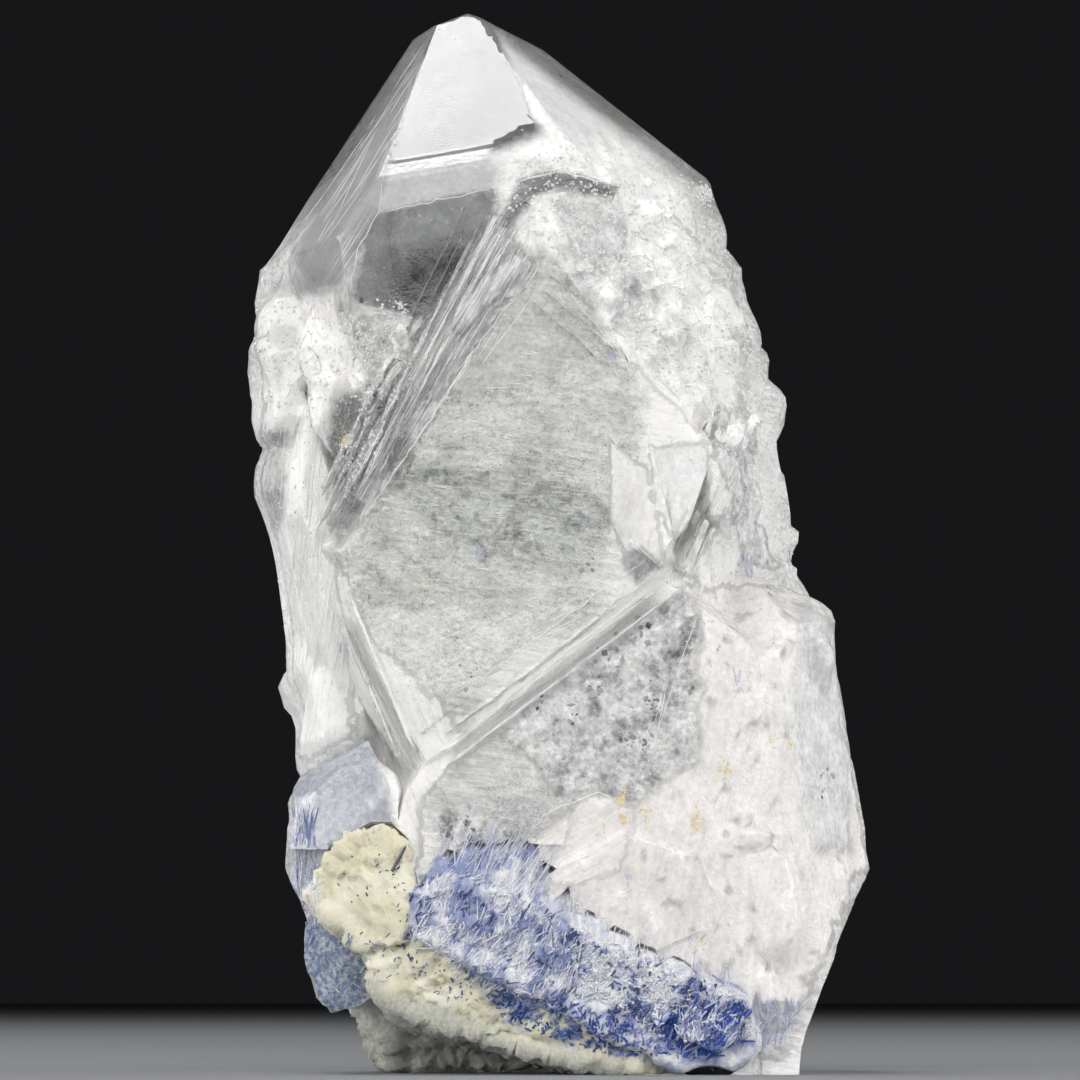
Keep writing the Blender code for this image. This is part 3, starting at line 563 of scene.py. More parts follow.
# Where the surface stands out or falls back: middle and reach in photograph pixels, mm outwards
BULGES = (
    ((252, 316), 34, 0.55), ((256, 470), 46, 0.42), ((735, 232), 28, 0.40), ((765, 335), 30, 0.38),
    ((822, 605), 28, 0.28), ((805, 556), 26, -0.28), ((300, 765), 26, 0.2), ((292, 672), 22, 0.2),
    ((390, 785), 20, 0.40),
)

# Dark spots: area, size in mm, share of the noise that counts as a spot, colour
SPOTS = {
    "mottled": (0.34, 0.58, (0.55, 0.57, 0.58)),
    "lower_right": (0.35, 0.70, (0.80, 0.80, 0.79)),
    "lozenge_dark": (0.30, 0.58, (0.45, 0.50, 0.47)),
    "right_wall": (0.35, 0.64, (0.62, 0.64, 0.65)),
    "low_hollow": (0.3, 0.5, (0.45, 0.46, 0.46)),
}

# How deep the growth lines cut and which way they run, for areas that have them: the name of the
# area, the direction across the lines as (x, z), the distance between lines and their depth in mm
LINES = {
    "left_ridge": ((0.9, -0.43), 0.16, 0.05),
    "lozenge": ((0.10, 1.0), 0.22, 0.045),
    "low_ridge": ((0.6, -0.8), 0.35, 0.02),
    "left_flutes": ((1.0, 0.12), 0.9, 0.05),
    "upper_crust": ((0.85, 0.53), 0.75, 0.10),
    "right_strip": ((0.93, -0.37), 0.3, 0.02),
    "right_wall": ((0.16, 1.0), 0.3, 0.03),
    "lower_right": ((1.0, 0.15), 0.55, 0.03),
    "lower_left": ((0.9, 0.4), 0.5, 0.015),
}


def blocks_of(places, size, share):
    """How deep each point lies for being in a broken block, where the share of the block's area is."""
    made = np.zeros(len(places))
    used = share > 0
    made[used] = np.clip(mosaic(places[used], (size, size, size * 1.6), 70), 0, 1.2)
    return made * share


def growth_lines(places, across, step, depth):
    """How deep each point lies in the lines that crystal growth leaves."""
    across_x, across_z = across
    along = (places[:, 0] * across_x + places[:, 2] * across_z) / math.hypot(across_x, across_z)
    wavy = along / step + 1.6 * fractal(places, 1.2, 9)
    ridge = np.abs(wavy % 1.0 - 0.5) * 2
    return depth * ridge * (0.3 + noise(places, 0.9, 10))


def paint_quartz(places, normals):
    """What the quartz is like at each point: how milky, rough, broken up and lined it is, the angle of
    its lines, its colour and how deep it dips."""
    count = len(places)
    large = fractal(places, 4.5, 1)
    medium = fractal(places, 1.3, 2)
    milk = 0.60 + 0.45 * smooth_step(0.35, 0.62, large)
    rough = 0.12 + 0.4 * smooth_step(0.4, 0.7, medium)
    broken = 0.12 + 0.18 * medium
    tint = np.tile(np.array(WHITE), (count, 1))
    height = places[:, 2]
    clear_tip = smooth_step(*CLEAR_FROM, height)
    milk += (0.10 + 0.1 * large - milk) * clear_tip
    rough *= 1 - clear_tip
    broken += (0.1 - broken) * clear_tip

    sunk = OTHER_BLOCKS[1] * blocks_of(places, OTHER_BLOCKS[0], 1 - clear_tip)

    warp = np.stack([fractal(places, 0.8, 5), fractal(places, 0.8, 6)], axis=1) - 0.5
    pixels = on_photo(places)
    front = smooth_step(0.0, 0.25, -normals[:, 1]) * smooth_step(1.5, 3.0, -places[:, 1])
    grain_angle = np.full(count, -9.0)
    lined = 0.42 * (1 - clear_tip)
    back = smooth_step(0.0, 0.25, normals[:, 1])
    through = inside_share(pixels, BACK_WINDOW, 20) * back
    milk += (0.02 - milk) * through
    rough *= 1 - through
    broken *= 1 - through
    lined *= 1 - through
    sunk *= 1 - through
    for name, outline, soft, area_milk, area_rough, area_broken, colour, angle, area_lined in AREAS:
        wander = warp * soft * 2.2
        share = inside_share(pixels + wander, outline, soft) * front
        milk += (area_milk - milk) * share
        rough += (area_rough - rough) * share
        broken += (area_broken - broken) * share
        tint += (np.array(colour) - tint) * share[:, None]
        sunk *= 1 - share
        lined += (area_lined - lined) * share
        grain_angle = np.where(share > 0.5, angle, grain_angle)
        if name in BLOCKS:
            size, depth = BLOCKS[name]
            sunk += depth * blocks_of(places, size, share)
        sunk -= share * RAISED.get(name, 0.0)
        if name in SPOTS:
            size, level, spot_colour = SPOTS[name]
            spots = share * smooth_step(level, level + 0.09, fractal(places, size, 31, 2))
            tint += (np.array(spot_colour) - tint) * spots[:, None]
            milk *= 1 - 0.35 * spots
        if name in LINES:
            sunk += share * growth_lines(places, *LINES[name])
        sunk += share * area_rough * 0.14 * fractal(places, 0.45, 12)
    for middle, reach, outwards in BULGES:
        away = np.linalg.norm(pixels - np.array(middle), axis=1) / reach
        sunk -= outwards * np.exp(-away ** 2)
    return milk, rough, broken, lined, np.radians(grain_angle), tint, sunk


def make_quartz():
    mesh_data = finer_copy("quartz_crystal", SIDE_EDGE, FRONT_EDGE)
    places, normals = mesh_arrays(mesh_data)
    milk, rough, broken, lined, grain_angle, tint, sunk = paint_quartz(places, normals)
    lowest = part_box("quartz_crystal")[0].z / MM
    sunk *= smooth_step(0.02, 0.25, places[:, 2] - lowest)
    mesh = moved_mesh("quartz_crystal_grown", mesh_data, places, normals, -sunk)[0]
    write_values(mesh, dict(zip(PAINTED, (milk, rough, broken, lined, grain_angle))))
    write_tint(mesh, tint)
    return make_piece("quartz_crystal_grown", mesh, quartz_material(),
                      smooth_angle=24, shown_for=("quartz_crystal",))


# Feldspar and the blue layer

CREAM = (0.80, 0.765, 0.56)
CREAM_LIGHT = (0.92, 0.89, 0.73)
FELDSPAR_SHADOW_GREY = (0.36, 0.39, 0.38)
FELDSPAR_BLUE = (0.13, 0.19, 0.42)
# Painted shadow: inside this outline, the feldspar's lower band and foot are painted grey
FELDSPAR_SHADE = ((300, 1000), (375, 990), (440, 1006), (520, 1040), (620, 1066), (640, 1090), (300, 1090))
BLUE_ON_FELDSPAR = ((480, 985), (560, 975), (640, 1010), (700, 1060), (600, 1055), (500, 1020))


def roughened_copy(node, edge, swell, bumps, blocks, seed):
    """A finer copy of a node that swells into the gap round it and has an uneven, crumbly surface."""
    mesh_data = finer_copy(node, edge)
    places, normals = mesh_arrays(mesh_data)
    lump = fractal(places, 0.9, seed, 4) - 0.5
    grit = fractal(places, 0.25, seed + 3, 2) - 0.5
    to_front = smooth_step(0.35, 0.9, -normals[:, 1])
    bent = places + np.stack([fractal(places, 0.8, seed + 8 + axis) for axis in range(3)], axis=1) * 1.2
    crumbs = mosaic(bent, (0.62, 0.5, 0.45), seed + 5) * 0.55
    crumbs = crumbs + mosaic(bent, (0.22, 0.2, 0.2), seed + 6) * 0.35
    move = swell * (1 - 0.8 * to_front) + bumps * lump + bumps * 0.3 * grit - blocks * (crumbs - 0.3)
    lowest = places[:, 2].min()
    move = move * smooth_step(0.02, 0.3, places[:, 2] - lowest)
    return moved_mesh(node + "_grown", mesh_data, places, normals, move)


# The blues, and the patches of darker and lighter blue that the layer and its needles share
LAVENDER = (0.62, 0.65, 0.80)
MID_BLUE = (0.27, 0.33, 0.57)
DARK_BLUE = (0.07, 0.10, 0.26)
DEEP_BLUE = (0.04, 0.11, 0.45)
# Silver: pale needles, whose whiteness also paints the glints on the needles
SILVER_GLINT = (0.95, 0.95, 0.96)
PALE_BLUE = (0.82, 0.84, 0.91)

LAYER_PALE = (0.94, 0.94, 0.95)
LAYER_BLUE = (0.36, 0.41, 0.62)
DEEP_PATCH = ((640, 1015), (700, 1005), (745, 1015), (742, 1042), (700, 1062), (670, 1055))
PATCH_SIZE, PATCH_SEED = 0.55, 55


def make_feldspar():
    mesh, places = roughened_copy("feldspar_matrix", 0.00016, swell=0.62, bumps=0.4, blocks=0.34, seed=41)
    tint = np.tile(np.array(CREAM), (len(places), 1))
    light = smooth_step(0.42, 0.62, fractal(places, 1.1, 44))
    tint += (np.array(CREAM_LIGHT) - tint) * light[:, None]
    pixels = on_photo(places)
    # Painted shadow: grey over the lower band and the foot
    shade = inside_share(pixels, FELDSPAR_SHADE, 14)
    tint += (np.array(FELDSPAR_SHADOW_GREY) - tint) * shade[:, None] * 0.9
    patches = smooth_step(0.44, 0.52, fractal(places, 0.45, 47))
    blue = inside_share(pixels, BLUE_ON_FELDSPAR, 10) * patches
    tint += (np.array(FELDSPAR_BLUE) - tint) * blue[:, None]
    write_tint(mesh, tint)
    return make_piece("feldspar_matrix_grown", mesh, feldspar_material(),
                      smooth_angle=40, shown_for=("feldspar_matrix",))


def make_blue_layer():
    mesh, places = roughened_copy("dumortierite_spray", 0.0002, swell=0.50, bumps=0.3, blocks=0.12, seed=51)
    tint = np.tile(np.array(LAYER_PALE), (len(places), 1))
    pixels = on_photo(places)
    level = 0.44 + 0.10 * smooth_step(540, 600, pixels[:, 0]) - 0.25 * inside_share(pixels, DEEP_PATCH, 12)
    blue = smooth_step(level, level + 0.07, fractal(places, PATCH_SIZE, PATCH_SEED))
    tint += (np.array(LAYER_BLUE) - tint) * blue[:, None]
    write_tint(mesh, tint)
    return make_piece("dumortierite_spray_layer", mesh, blue_layer_material(),
                      smooth_angle=40, shown_for=("dumortierite_spray",))


# Needles

# Each group of needles: outline in photograph pixels, number, lean to the right from upright in
# degrees with its spread, shortest and longest in mm, thinnest and thickest in mm, colours from dark
# to light, and how far the needle's foot and tip stand out from the surface in mm. The silver colour is
# the pale needles' own and also paints the glints on the needles.
NEEDLE_GROUPS = (
    (((422, 872), (440, 848), (475, 836), (525, 836), (556, 850), (545, 905), (500, 892), (440, 880)), 330,
     (31, 8), (0.6, 1.5), (0.018, 0.04), (LAVENDER, PALE_BLUE, SILVER_GLINT, SILVER_GLINT), (0.0, 0.04)),
    (((412, 885), (450, 872), (500, 888), (545, 912), (575, 944), (600, 970), (600, 1003), (535, 1003),
      (480, 988), (440, 968), (404, 940)), 1500,
     (33, 22), (0.12, 0.6), (0.025, 0.07),
     (DARK_BLUE, MID_BLUE, MID_BLUE, LAVENDER, PALE_BLUE, SILVER_GLINT, SILVER_GLINT), (0.0, 0.08)),
    (((550, 925), (620, 945), (660, 968), (745, 1000), (735, 1040), (690, 1050), (640, 1030), (600, 1008)),
     800, (20, 50), (0.08, 0.28), (0.04, 0.11), (DARK_BLUE, DARK_BLUE, MID_BLUE, LAVENDER, SILVER_GLINT, SILVER_GLINT),
     (0.01, 0.06)),
    (DEEP_PATCH, 700, (28, 22), (0.15, 0.6), (0.03, 0.08), (DEEP_BLUE, DEEP_BLUE, MID_BLUE, LAVENDER),
     (0.0, 0.08)),
    (((555, 905), (600, 925), (660, 950), (740, 985), (740, 1000), (660, 975), (600, 950)), 200,
     (10, 15), (0.25, 0.8), (0.016, 0.035), (LAVENDER, PALE_BLUE, SILVER_GLINT, SILVER_GLINT), (0.0, 0.04)),
    (((735, 1000), (795, 1012), (785, 1045), (740, 1050)), 150,
     (10, 25), (0.25, 0.7), (0.03, 0.05), (LAVENDER, PALE_BLUE), (0.0, 0.02)),
    (((290, 810), (314, 828), (322, 930), (300, 925)), 420,
     (6, 14), (0.2, 0.7), (0.02, 0.055), (MID_BLUE, LAVENDER, PALE_BLUE, SILVER_GLINT), (0.0, 0.03)),
    (((300, 925), (340, 930), (400, 975), (340, 1000), (310, 980)), 90,
     (30, 35), (0.1, 0.35), (0.03, 0.06), (MID_BLUE, MID_BLUE, LAVENDER), (-0.01, 0.01)),
    (((490, 990), (560, 1000), (640, 1030), (690, 1060), (600, 1055), (500, 1020)), 420,
     (20, 40), (0.1, 0.3), (0.04, 0.09), (DARK_BLUE, DEEP_BLUE, MID_BLUE), (0.0, 0.03)),
    (((330, 870), (350, 855), (405, 850), (410, 930), (350, 905)), 26,
     (50, 60), (0.04, 0.14), (0.03, 0.06), (DARK_BLUE, (0.05, 0.06, 0.08)), (0.0, 0.02)),
    (((340, 925), (400, 940), (500, 1000), (460, 1010), (380, 960)), 70,
     (50, 60), (0.05, 0.2), (0.03, 0.07), (DARK_BLUE, MID_BLUE), (0.0, 0.02)),
    (((300, 780), (368, 745), (395, 850), (310, 850)), 60,
     (10, 60), (0.05, 0.15), (0.015, 0.03), (LAVENDER, PALE_BLUE, SILVER_GLINT), (0.0, 0.01)),
)
LONG_DARK_NEEDLE = ((392, 872), (407, 845))

# Needles and flecks are only where the surface's normal has a y below this, as its other parts are sides
FRONT_LEAN = -0.15

# How far in mm a needle's tip may be from the surface, so that none stands out past an edge, and how
# far its ends stay inside the box
TIP_REACH = 0.14
NEEDLE_MARGIN = 0.02

# Small tufts of blue needles: middles in photograph pixels, and each one's spread in pixels and number
TUFTS = ((745, 565), (740, 688), (612, 360), (480, 565), (630, 880), (748, 575), (690, 945))
BLUE_FLECKS = [(middle, 5, 7) for middle in TUFTS]


def surface_of(*pieces):
    corners, faces = [], []
    for piece in pieces:
        first = len(corners)
        corners += [v.co / MM for v in piece.data.vertices]
        faces += [[first + i for i in polygon.vertices] for polygon in piece.data.polygons]
    return BVHTree.FromPolygons(corners, faces)


def front_point(surface, pixel):
    """Where the photograph's camera sees the surface at a pixel, and the normal there."""
    start = Vector(CAMERA_PLACE)
    aim = from_photo(pixel, -5.0) - start
    place, normal = surface.ray_cast(start, aim.normalized())[:2]
    return place, normal


class Heap:
    """Many small closed forms joined in one mesh."""

    SIDES = 5

    # Shortest and longest part of a rib in mm. A longer one would jump across a step of the surface.
    RIB_PARTS = (0.02, 1.2)

    def __init__(self):
        self.corners, self.faces, self.colours = [], [], []

    def tube(self, rings, axis, turn):
        """A wall between two rings, each a middle and a radius, closed at the first."""
        side = axis.orthogonal().normalized()
        other = axis.cross(side)
        first, count = len(self.corners), self.SIDES
        for centre, width in rings:
            for step in range(count):
                angle = turn + math.tau * step / count
                self.corners.append(centre + (side * math.cos(angle) + other * math.sin(angle)) * width)
        self.faces.append(tuple(first + step for step in reversed(range(count))))
        for step in range(count):
            after = (step + 1) % count
            self.faces.append((first + step, first + after, first + count + after, first + count + step))
        return first + count

    def needle(self, foot, tip, radius, colour, rng):
        """A prism with a pointed tip."""
        turn = rng.uniform(0, math.tau)
        shoulder = foot.lerp(tip, rng.uniform(0.8, 0.93))
        rings = ((foot, radius), (shoulder, radius * rng.uniform(0.6, 0.85)))
        rim, count = self.tube(rings, (tip - foot).normalized(), turn), self.SIDES
        self.corners.append(tip)
        self.faces += [(rim + step, rim + (step + 1) % count, rim + count) for step in range(count)]
        self.colours += [colour] * (2 * count + 1)

    def rod(self, foot, tip, foot_radius, tip_radius, colour):
        rings = ((foot, foot_radius), (tip, tip_radius))
        rim, count = self.tube(rings, (tip - foot).normalized(), 0.0), self.SIDES
        self.faces.append(tuple(rim + step for step in range(count)))
        self.colours += [colour] * (2 * count)

    def rib(self, surface, pixels, radius, colour):
        """A rib that follows the surface along a line of pixels, thin at both ends."""
        places = [front_point(surface, pixel)[0] for pixel in pixels]
        last = len(places) - 1
        shortest, longest = self.RIB_PARTS
        for number in range(last):
            foot, tip = places[number], places[number + 1]
            if foot is None or tip is None or not shortest < (tip - foot).length < longest:
                continue
            ends = [radius * (0.25 + 0.75 * math.sin(math.pi * (number + step) / last)) for step in (0, 1)]
            self.rod(foot, tip, *ends, colour)

    def grain(self, centre, axes, sizes, colour):
        """An eight-sided grain."""
        first = len(self.corners)
        for axis, size in zip(axes, sizes):
            self.corners += [centre + axis * size, centre - axis * size]
        for end in (4, 5):
            ring = (0, 2, 1, 3) if end == 4 else (2, 0, 3, 1)
            for step in range(4):
                self.faces.append((first + ring[step], first + ring[(step + 1) % 4], first + end))
        self.colours += [colour] * 6

    def make(self, name, material):
        mesh = bpy.data.meshes.new(name)
        mesh.from_pydata([corner * MM for corner in self.corners], [], self.faces)
        mesh.update()
        write_tint(mesh, np.array(self.colours))
        return make_piece(name, mesh, material)


def random_pixel(rng, outline):
    low_x, high_x = min(p[0] for p in outline), max(p[0] for p in outline)
    low_y, high_y = min(p[1] for p in outline), max(p[1] for p in outline)
    while True:
        pixel = (rng.uniform(low_x, high_x), rng.uniform(low_y, high_y))
        if inside_share(np.array([pixel]), outline, 0.01)[0] > 0.5:
            return pixel


def scattered(rng, surface, groups, narrow):
    """Places and normals round the middles of some groups, less wide than high by that share."""
    for (x, y), spread, count in groups:
        for _ in range(count):
            pixel = (x + rng.gauss(0, spread * narrow), y + rng.gauss(0, spread))
            place, normal = front_point(surface, pixel)
            if place is not None:
                yield place, normal


def make_needles(surface):
    rng = random.Random(7)
    heap = Heap()
    for outline, count, lean, lengths, widths, colours, stand in NEEDLE_GROUPS:
        for _ in range(count):
            pixel = random_pixel(rng, outline)
            foot, normal = front_point(surface, pixel)
            angle = math.radians(rng.gauss(lean[0], lean[1]))
            length = rng.uniform(*lengths)
            radius = rng.uniform(*widths) / 2
            if foot is None or normal.y > FRONT_LEAN:
                continue
            patch = 1 - float(fractal(np.array([foot[:]]), PATCH_SIZE, PATCH_SEED)[0])
            step = (patch - 0.5) * 2.4 + 0.58 + rng.gauss(0, 0.22)
            colour = Vector(colours[int(min(max(step, 0), 0.999) * len(colours))]) * rng.uniform(0.8, 1.15)
            along = Vector((math.sin(angle), rng.gauss(0, 0.12), math.cos(angle)))
            along = (along - normal * along.dot(normal)).normalized()
            foot = foot + normal * stand[0]
            tip = foot + along * length + normal * rng.uniform(0.0, stand[1])
            fits = in_box(foot, NEEDLE_MARGIN) and in_box(tip, NEEDLE_MARGIN)
            if not fits or surface.find_nearest(tip)[3] > TIP_REACH:
                continue
            heap.needle(foot, tip, radius, tuple(min(c, 0.95) for c in colour), rng)
    foot, normal = front_point(surface, LONG_DARK_NEEDLE[0])
    tip, tip_normal = front_point(surface, LONG_DARK_NEEDLE[1])
    heap.needle(foot + normal * 0.03, tip + tip_normal * 0.03, 0.055, (0.05, 0.06, 0.10), rng)
    for foot, _ in scattered(rng, surface, BLUE_FLECKS, 0.6):
        angle = math.radians(rng.gauss(10, 15))
        tip = foot + Vector((math.sin(angle), 0, math.cos(angle))) * rng.uniform(0.15, 0.45)
        heap.needle(foot, tip, 0.018, LAVENDER, rng)
    return heap.make("dumortierite_needles", needle_material())


# Small grains on the quartz: stains, shards and flecks

GOLD = (0.78, 0.58, 0.20)
PALE_GOLD = (0.85, 0.74, 0.48)

# Golden stains: middle in photograph pixels, spread in pixels, number
STAINS = (
    ((345, 440), 5, 26), ((326, 453), 3, 12), ((333, 308), 3, 12), ((621, 800), 4, 40), ((623, 818), 4, 30),
    ((697, 822), 6, 46), ((725, 770), 5, 26), ((770, 740), 4, 10), ((646, 815), 6, 20), ((700, 945), 7, 14),
    ((560, 660), 5, 8), ((790, 745), 3, 10), ((600, 830), 5, 8), ((419, 585), 2, 4), ((440, 560), 2, 4),
)


def random_axes(rng, normal):
    side = normal.orthogonal().normalized()
    side = Matrix.Rotation(rng.uniform(0, math.tau), 3, normal) @ side
    return side, normal.cross(side), normal


def make_stains(surface):
    rng = random.Random(19)
    heap = Heap()
    for place, normal in scattered(rng, surface, STAINS, 0.7):
        colour = GOLD if rng.random() < 0.5 else PALE_GOLD
        sizes = (rng.uniform(0.02, 0.06), rng.uniform(0.02, 0.05), rng.uniform(0.008, 0.02))
        heap.grain(place, random_axes(rng, normal), sizes, colour)
    return heap.make("iron_stains", stain_material())


# How far in mm the shards of quartz stay inside the box
SHARD_MARGIN = 0.15
# BRIGHT is the white of the shards and of the lines and edge ribs, where it also paints highlights; SHADOW
# is painted shadow on darker lines and shards
BRIGHT = (0.97, 0.97, 0.96)
SHADOW = (0.42, 0.44, 0.45)

# Shards of quartz: outline in photograph pixels, number, smallest and largest half size in mm, colour
SHARD_GROUPS = (
    (((500, 200), (545, 140), (620, 145), (710, 185), (740, 285), (780, 420), (725, 440), (650, 370),
      (600, 300), (560, 260)), 1100, (0.02, 0.085), BRIGHT),
    (((515, 165), (600, 150), (690, 190), (700, 260), (640, 330), (560, 240)), 350, (0.02, 0.06), BRIGHT),
    (((250, 305), (330, 295), (372, 400), (330, 412), (258, 405)), 260, (0.02, 0.09), BRIGHT),
    (((335, 320), (440, 335), (400, 400), (345, 400)), 240, (0.02, 0.07), BRIGHT),
    (((330, 402), (398, 395), (372, 470), (345, 500), (328, 450)), 160, (0.02, 0.06), BRIGHT),
    (((260, 410), (325, 410), (330, 520), (345, 640), (300, 740), (275, 560)), 200, (0.015, 0.06), BRIGHT),
    (((345, 600), (480, 610), (560, 610), (480, 680), (430, 740), (375, 660)), 260, (0.015, 0.05), BRIGHT),
    (((545, 265), (640, 400), (610, 540), (520, 625), (430, 600), (345, 560), (400, 470)), 420,
     (0.01, 0.035), BRIGHT),
    # Painted shade: darker shards over the middle of the lozenge
    (((430, 440), (590, 460), (610, 530), (560, 560), (420, 560)), 260, (0.01, 0.035), SHADOW),
    (((700, 590), (800, 590), (840, 700), (865, 860), (800, 1000), (700, 980), (560, 915), (640, 800)), 420,
     (0.01, 0.045), BRIGHT),
    (((660, 560), (760, 560), (800, 600), (740, 650), (680, 600)), 120, (0.02, 0.07), BRIGHT),
    (((715, 440), (790, 425), (798, 575), (750, 555)), 160, (0.015, 0.06), BRIGHT),
    (((500, 735), (600, 655), (690, 600), (700, 750), (640, 795), (540, 785)), 90, (0.01, 0.03), BRIGHT),
    (((420, 800), (500, 800), (560, 790), (530, 850), (440, 850)), 120, (0.015, 0.05), BRIGHT),
    (((545, 915), (620, 940), (745, 990), (760, 1030), (680, 1040), (600, 1000)), 420, (0.02, 0.075),
     BRIGHT),
    (((390, 60), (500, 60), (540, 140), (480, 300), (360, 300)), 22, (0.01, 0.02), BRIGHT),
    (((375, 300), (400, 295), (412, 318), (385, 322)), 30, (0.03, 0.08), BRIGHT),
)

# Dark flecks: middle in photograph pixels, spread in pixels, number
DARK_FLECKS = (
    ((640, 625), 10, 16), ((622, 650), 12, 14), ((600, 690), 9, 16), ((655, 700), 10, 26),
    ((630, 735), 12, 22), ((575, 720), 10, 12), ((668, 655), 7, 14), ((645, 745), 6, 12),
    ((605, 655), 7, 8), ((560, 745), 9, 8), ((540, 705), 8, 6), ((690, 690), 7, 8), ((465, 820), 12, 22),
    ((450, 835), 9, 10), ((480, 845), 8, 8), ((718, 650), 3, 4), ((820, 780), 7, 14), ((770, 590), 5, 6),
    ((640, 605), 6, 10), ((375, 395), 4, 8), ((362, 300), 3, 4), ((455, 640), 4, 5), ((470, 675), 9, 8),
    ((590, 560), 8, 8),
)

# Fine lines: outline, number, direction in degrees above the horizontal, shortest and longest in
# pixels, thinnest and thickest in mm, colour. The BRIGHT lines are white streaks that also paint
# highlights, and the SHADOW lines are painted shadow.
LINE_GROUPS = (
    (((512, 200), (495, 205), (345, 480), (345, 535), (372, 480), (505, 250)), 70, 61, (30, 190),
     (0.018, 0.045), BRIGHT),
    (((540, 215), (510, 250), (372, 480), (385, 495), (548, 280)), 45, 58, (12, 70), (0.014, 0.035),
     BRIGHT),
    (((520, 205), (500, 215), (345, 480), (345, 530), (380, 480), (520, 285)), 60, 61, (20, 120),
     (0.02, 0.045), SHADOW),
    (((478, 235), (505, 200), (455, 330), (420, 370)), 16, 62, (60, 150), (0.02, 0.04), BRIGHT),
    (((425, 40), (388, 160), (375, 215), (335, 290), (262, 295), (300, 225)), 34, 57, (25, 110),
     (0.012, 0.03), BRIGHT),
    (((380, 180), (372, 220), (340, 290), (275, 290), (310, 225)), 16, 57, (20, 70), (0.012, 0.03), SHADOW),
    (((668, 560), (695, 580), (560, 680), (470, 755), (430, 745), (560, 650)), 40, 37, (30, 160),
     (0.02, 0.045), BRIGHT),
    (((340, 590), (372, 640), (430, 740), (420, 780), (350, 660)), 50, -60, (20, 90), (0.02, 0.05), BRIGHT),
    (((664, 570), (735, 460), (738, 490), (690, 570)), 30, 59, (20, 80), (0.02, 0.05), BRIGHT),
    (((262, 420), (325, 415), (330, 520), (348, 640), (345, 735), (295, 745), (275, 560)), 60, 84,
     (30, 150), (0.02, 0.06), BRIGHT),
    (((700, 600), (800, 600), (850, 850), (790, 980), (640, 900), (600, 830)), 40, 76, (20, 110),
     (0.012, 0.03), BRIGHT),
    (((545, 330), (600, 370), (645, 420), (610, 540), (450, 600), (345, 565), (420, 440)), 330, -7, (5, 20),
     (0.014, 0.036), BRIGHT),
    (((480, 430), (600, 450), (610, 530), (450, 560), (400, 500)), 110, -8, (6, 28), (0.012, 0.03), SHADOW),
    (((520, 600), (600, 590), (560, 660), (500, 700), (470, 680)), 50, 25, (15, 60), (0.015, 0.03), BRIGHT),
    (((520, 800), (560, 790), (640, 810), (620, 850), (560, 880)), 30, 62, (20, 60), (0.015, 0.035),
     BRIGHT),
    (((620, 230), (700, 240), (770, 420), (720, 430), (640, 330)), 50, -58, (12, 50), (0.02, 0.05), BRIGHT),
)

# How far apart in pixels the points of a line and of a rib along an edge are
LINE_STEP = 9.0
SEAM_STEP = 7

# Ribs along the edges of faces, raised like bevels and painted white as highlights on the edges: thickness
# in mm, then pixels
HIGHLIGHT_SEAMS = (
    (0.07, ((668, 577), (620, 612), (560, 657), (510, 705), (472, 752))),
    (0.05, ((645, 560), (600, 592), (545, 632), (490, 672), (445, 705))),
    (0.06, ((344, 598), (358, 635), (385, 680), (430, 745))),
    (0.05, ((372, 640), (385, 680), (400, 720), (415, 758))),
    (0.04, ((613, 440), (617, 480), (624, 520), (640, 548), (668, 572))),
    (0.04, ((652, 452), (656, 480), (662, 505), (669, 530))),
    (0.05, ((722, 455), (705, 490), (690, 520), (664, 570))),
    (0.05, ((742, 462), (722, 500), (705, 525), (674, 573))),
    (0.03, ((383, 170), (378, 210), (358, 248), (347, 298))),
    (0.03, ((380, 212), (420, 204), (460, 196), (498, 186))),
    (0.05, ((520, 850), (532, 828), (548, 812), (600, 793), (640, 812))),
    (0.04, ((640, 812), (652, 840), (662, 868), (620, 900))),
    (0.05, ((738, 888), (744, 850), (762, 800), (790, 760), (800, 700))),
    (0.04, ((700, 990), (703, 960), (712, 930), (735, 885))),
    (0.05, ((455, 322), (480, 285), (510, 240), (545, 195))),
    (0.06, ((497, 222), (508, 198), (522, 180), (560, 172), (620, 186))),
    (0.04, ((545, 262), (572, 296), (600, 330), (650, 400))),
    (0.04, ((338, 560), (372, 505), (430, 420), (480, 340), (545, 262))),
)


def make_shards(surface):
    rng = random.Random(23)
    heap = Heap()
    for outline, number, sizes, colour in SHARD_GROUPS:
        for _ in range(number):
            place, normal = front_point(surface, random_pixel(rng, outline))
            reach = [rng.uniform(*sizes) for _ in range(3)]
            if place is None or not in_box(place, SHARD_MARGIN):
                continue
            lean = (normal + Vector([rng.uniform(-0.8, 0.8) for _ in range(3)])).normalized()
            shade = rng.uniform(0.85, 1.0)
            heap.grain(place, random_axes(rng, lean), reach, tuple(part * shade for part in colour))
    return heap.make("quartz_shards", detail_material("quartz_shards", 0.06))


def make_flecks(surface):
    rng = random.Random(29)
    heap = Heap()
    for place, normal in scattered(rng, surface, DARK_FLECKS, 0.6):
        if normal.y > FRONT_LEAN:
            continue
        longest = 0.02 + 0.13 * rng.random() ** 2
        sizes = (longest, longest * rng.uniform(0.3, 0.9), rng.uniform(0.008, 0.016))
        shade = rng.uniform(0.05, 0.42)
        heap.grain(place, random_axes(rng, normal), sizes, (shade, shade * 1.03, shade * 1.05))
    return heap.make("dark_flecks", detail_material("dark_flecks", 0.0))


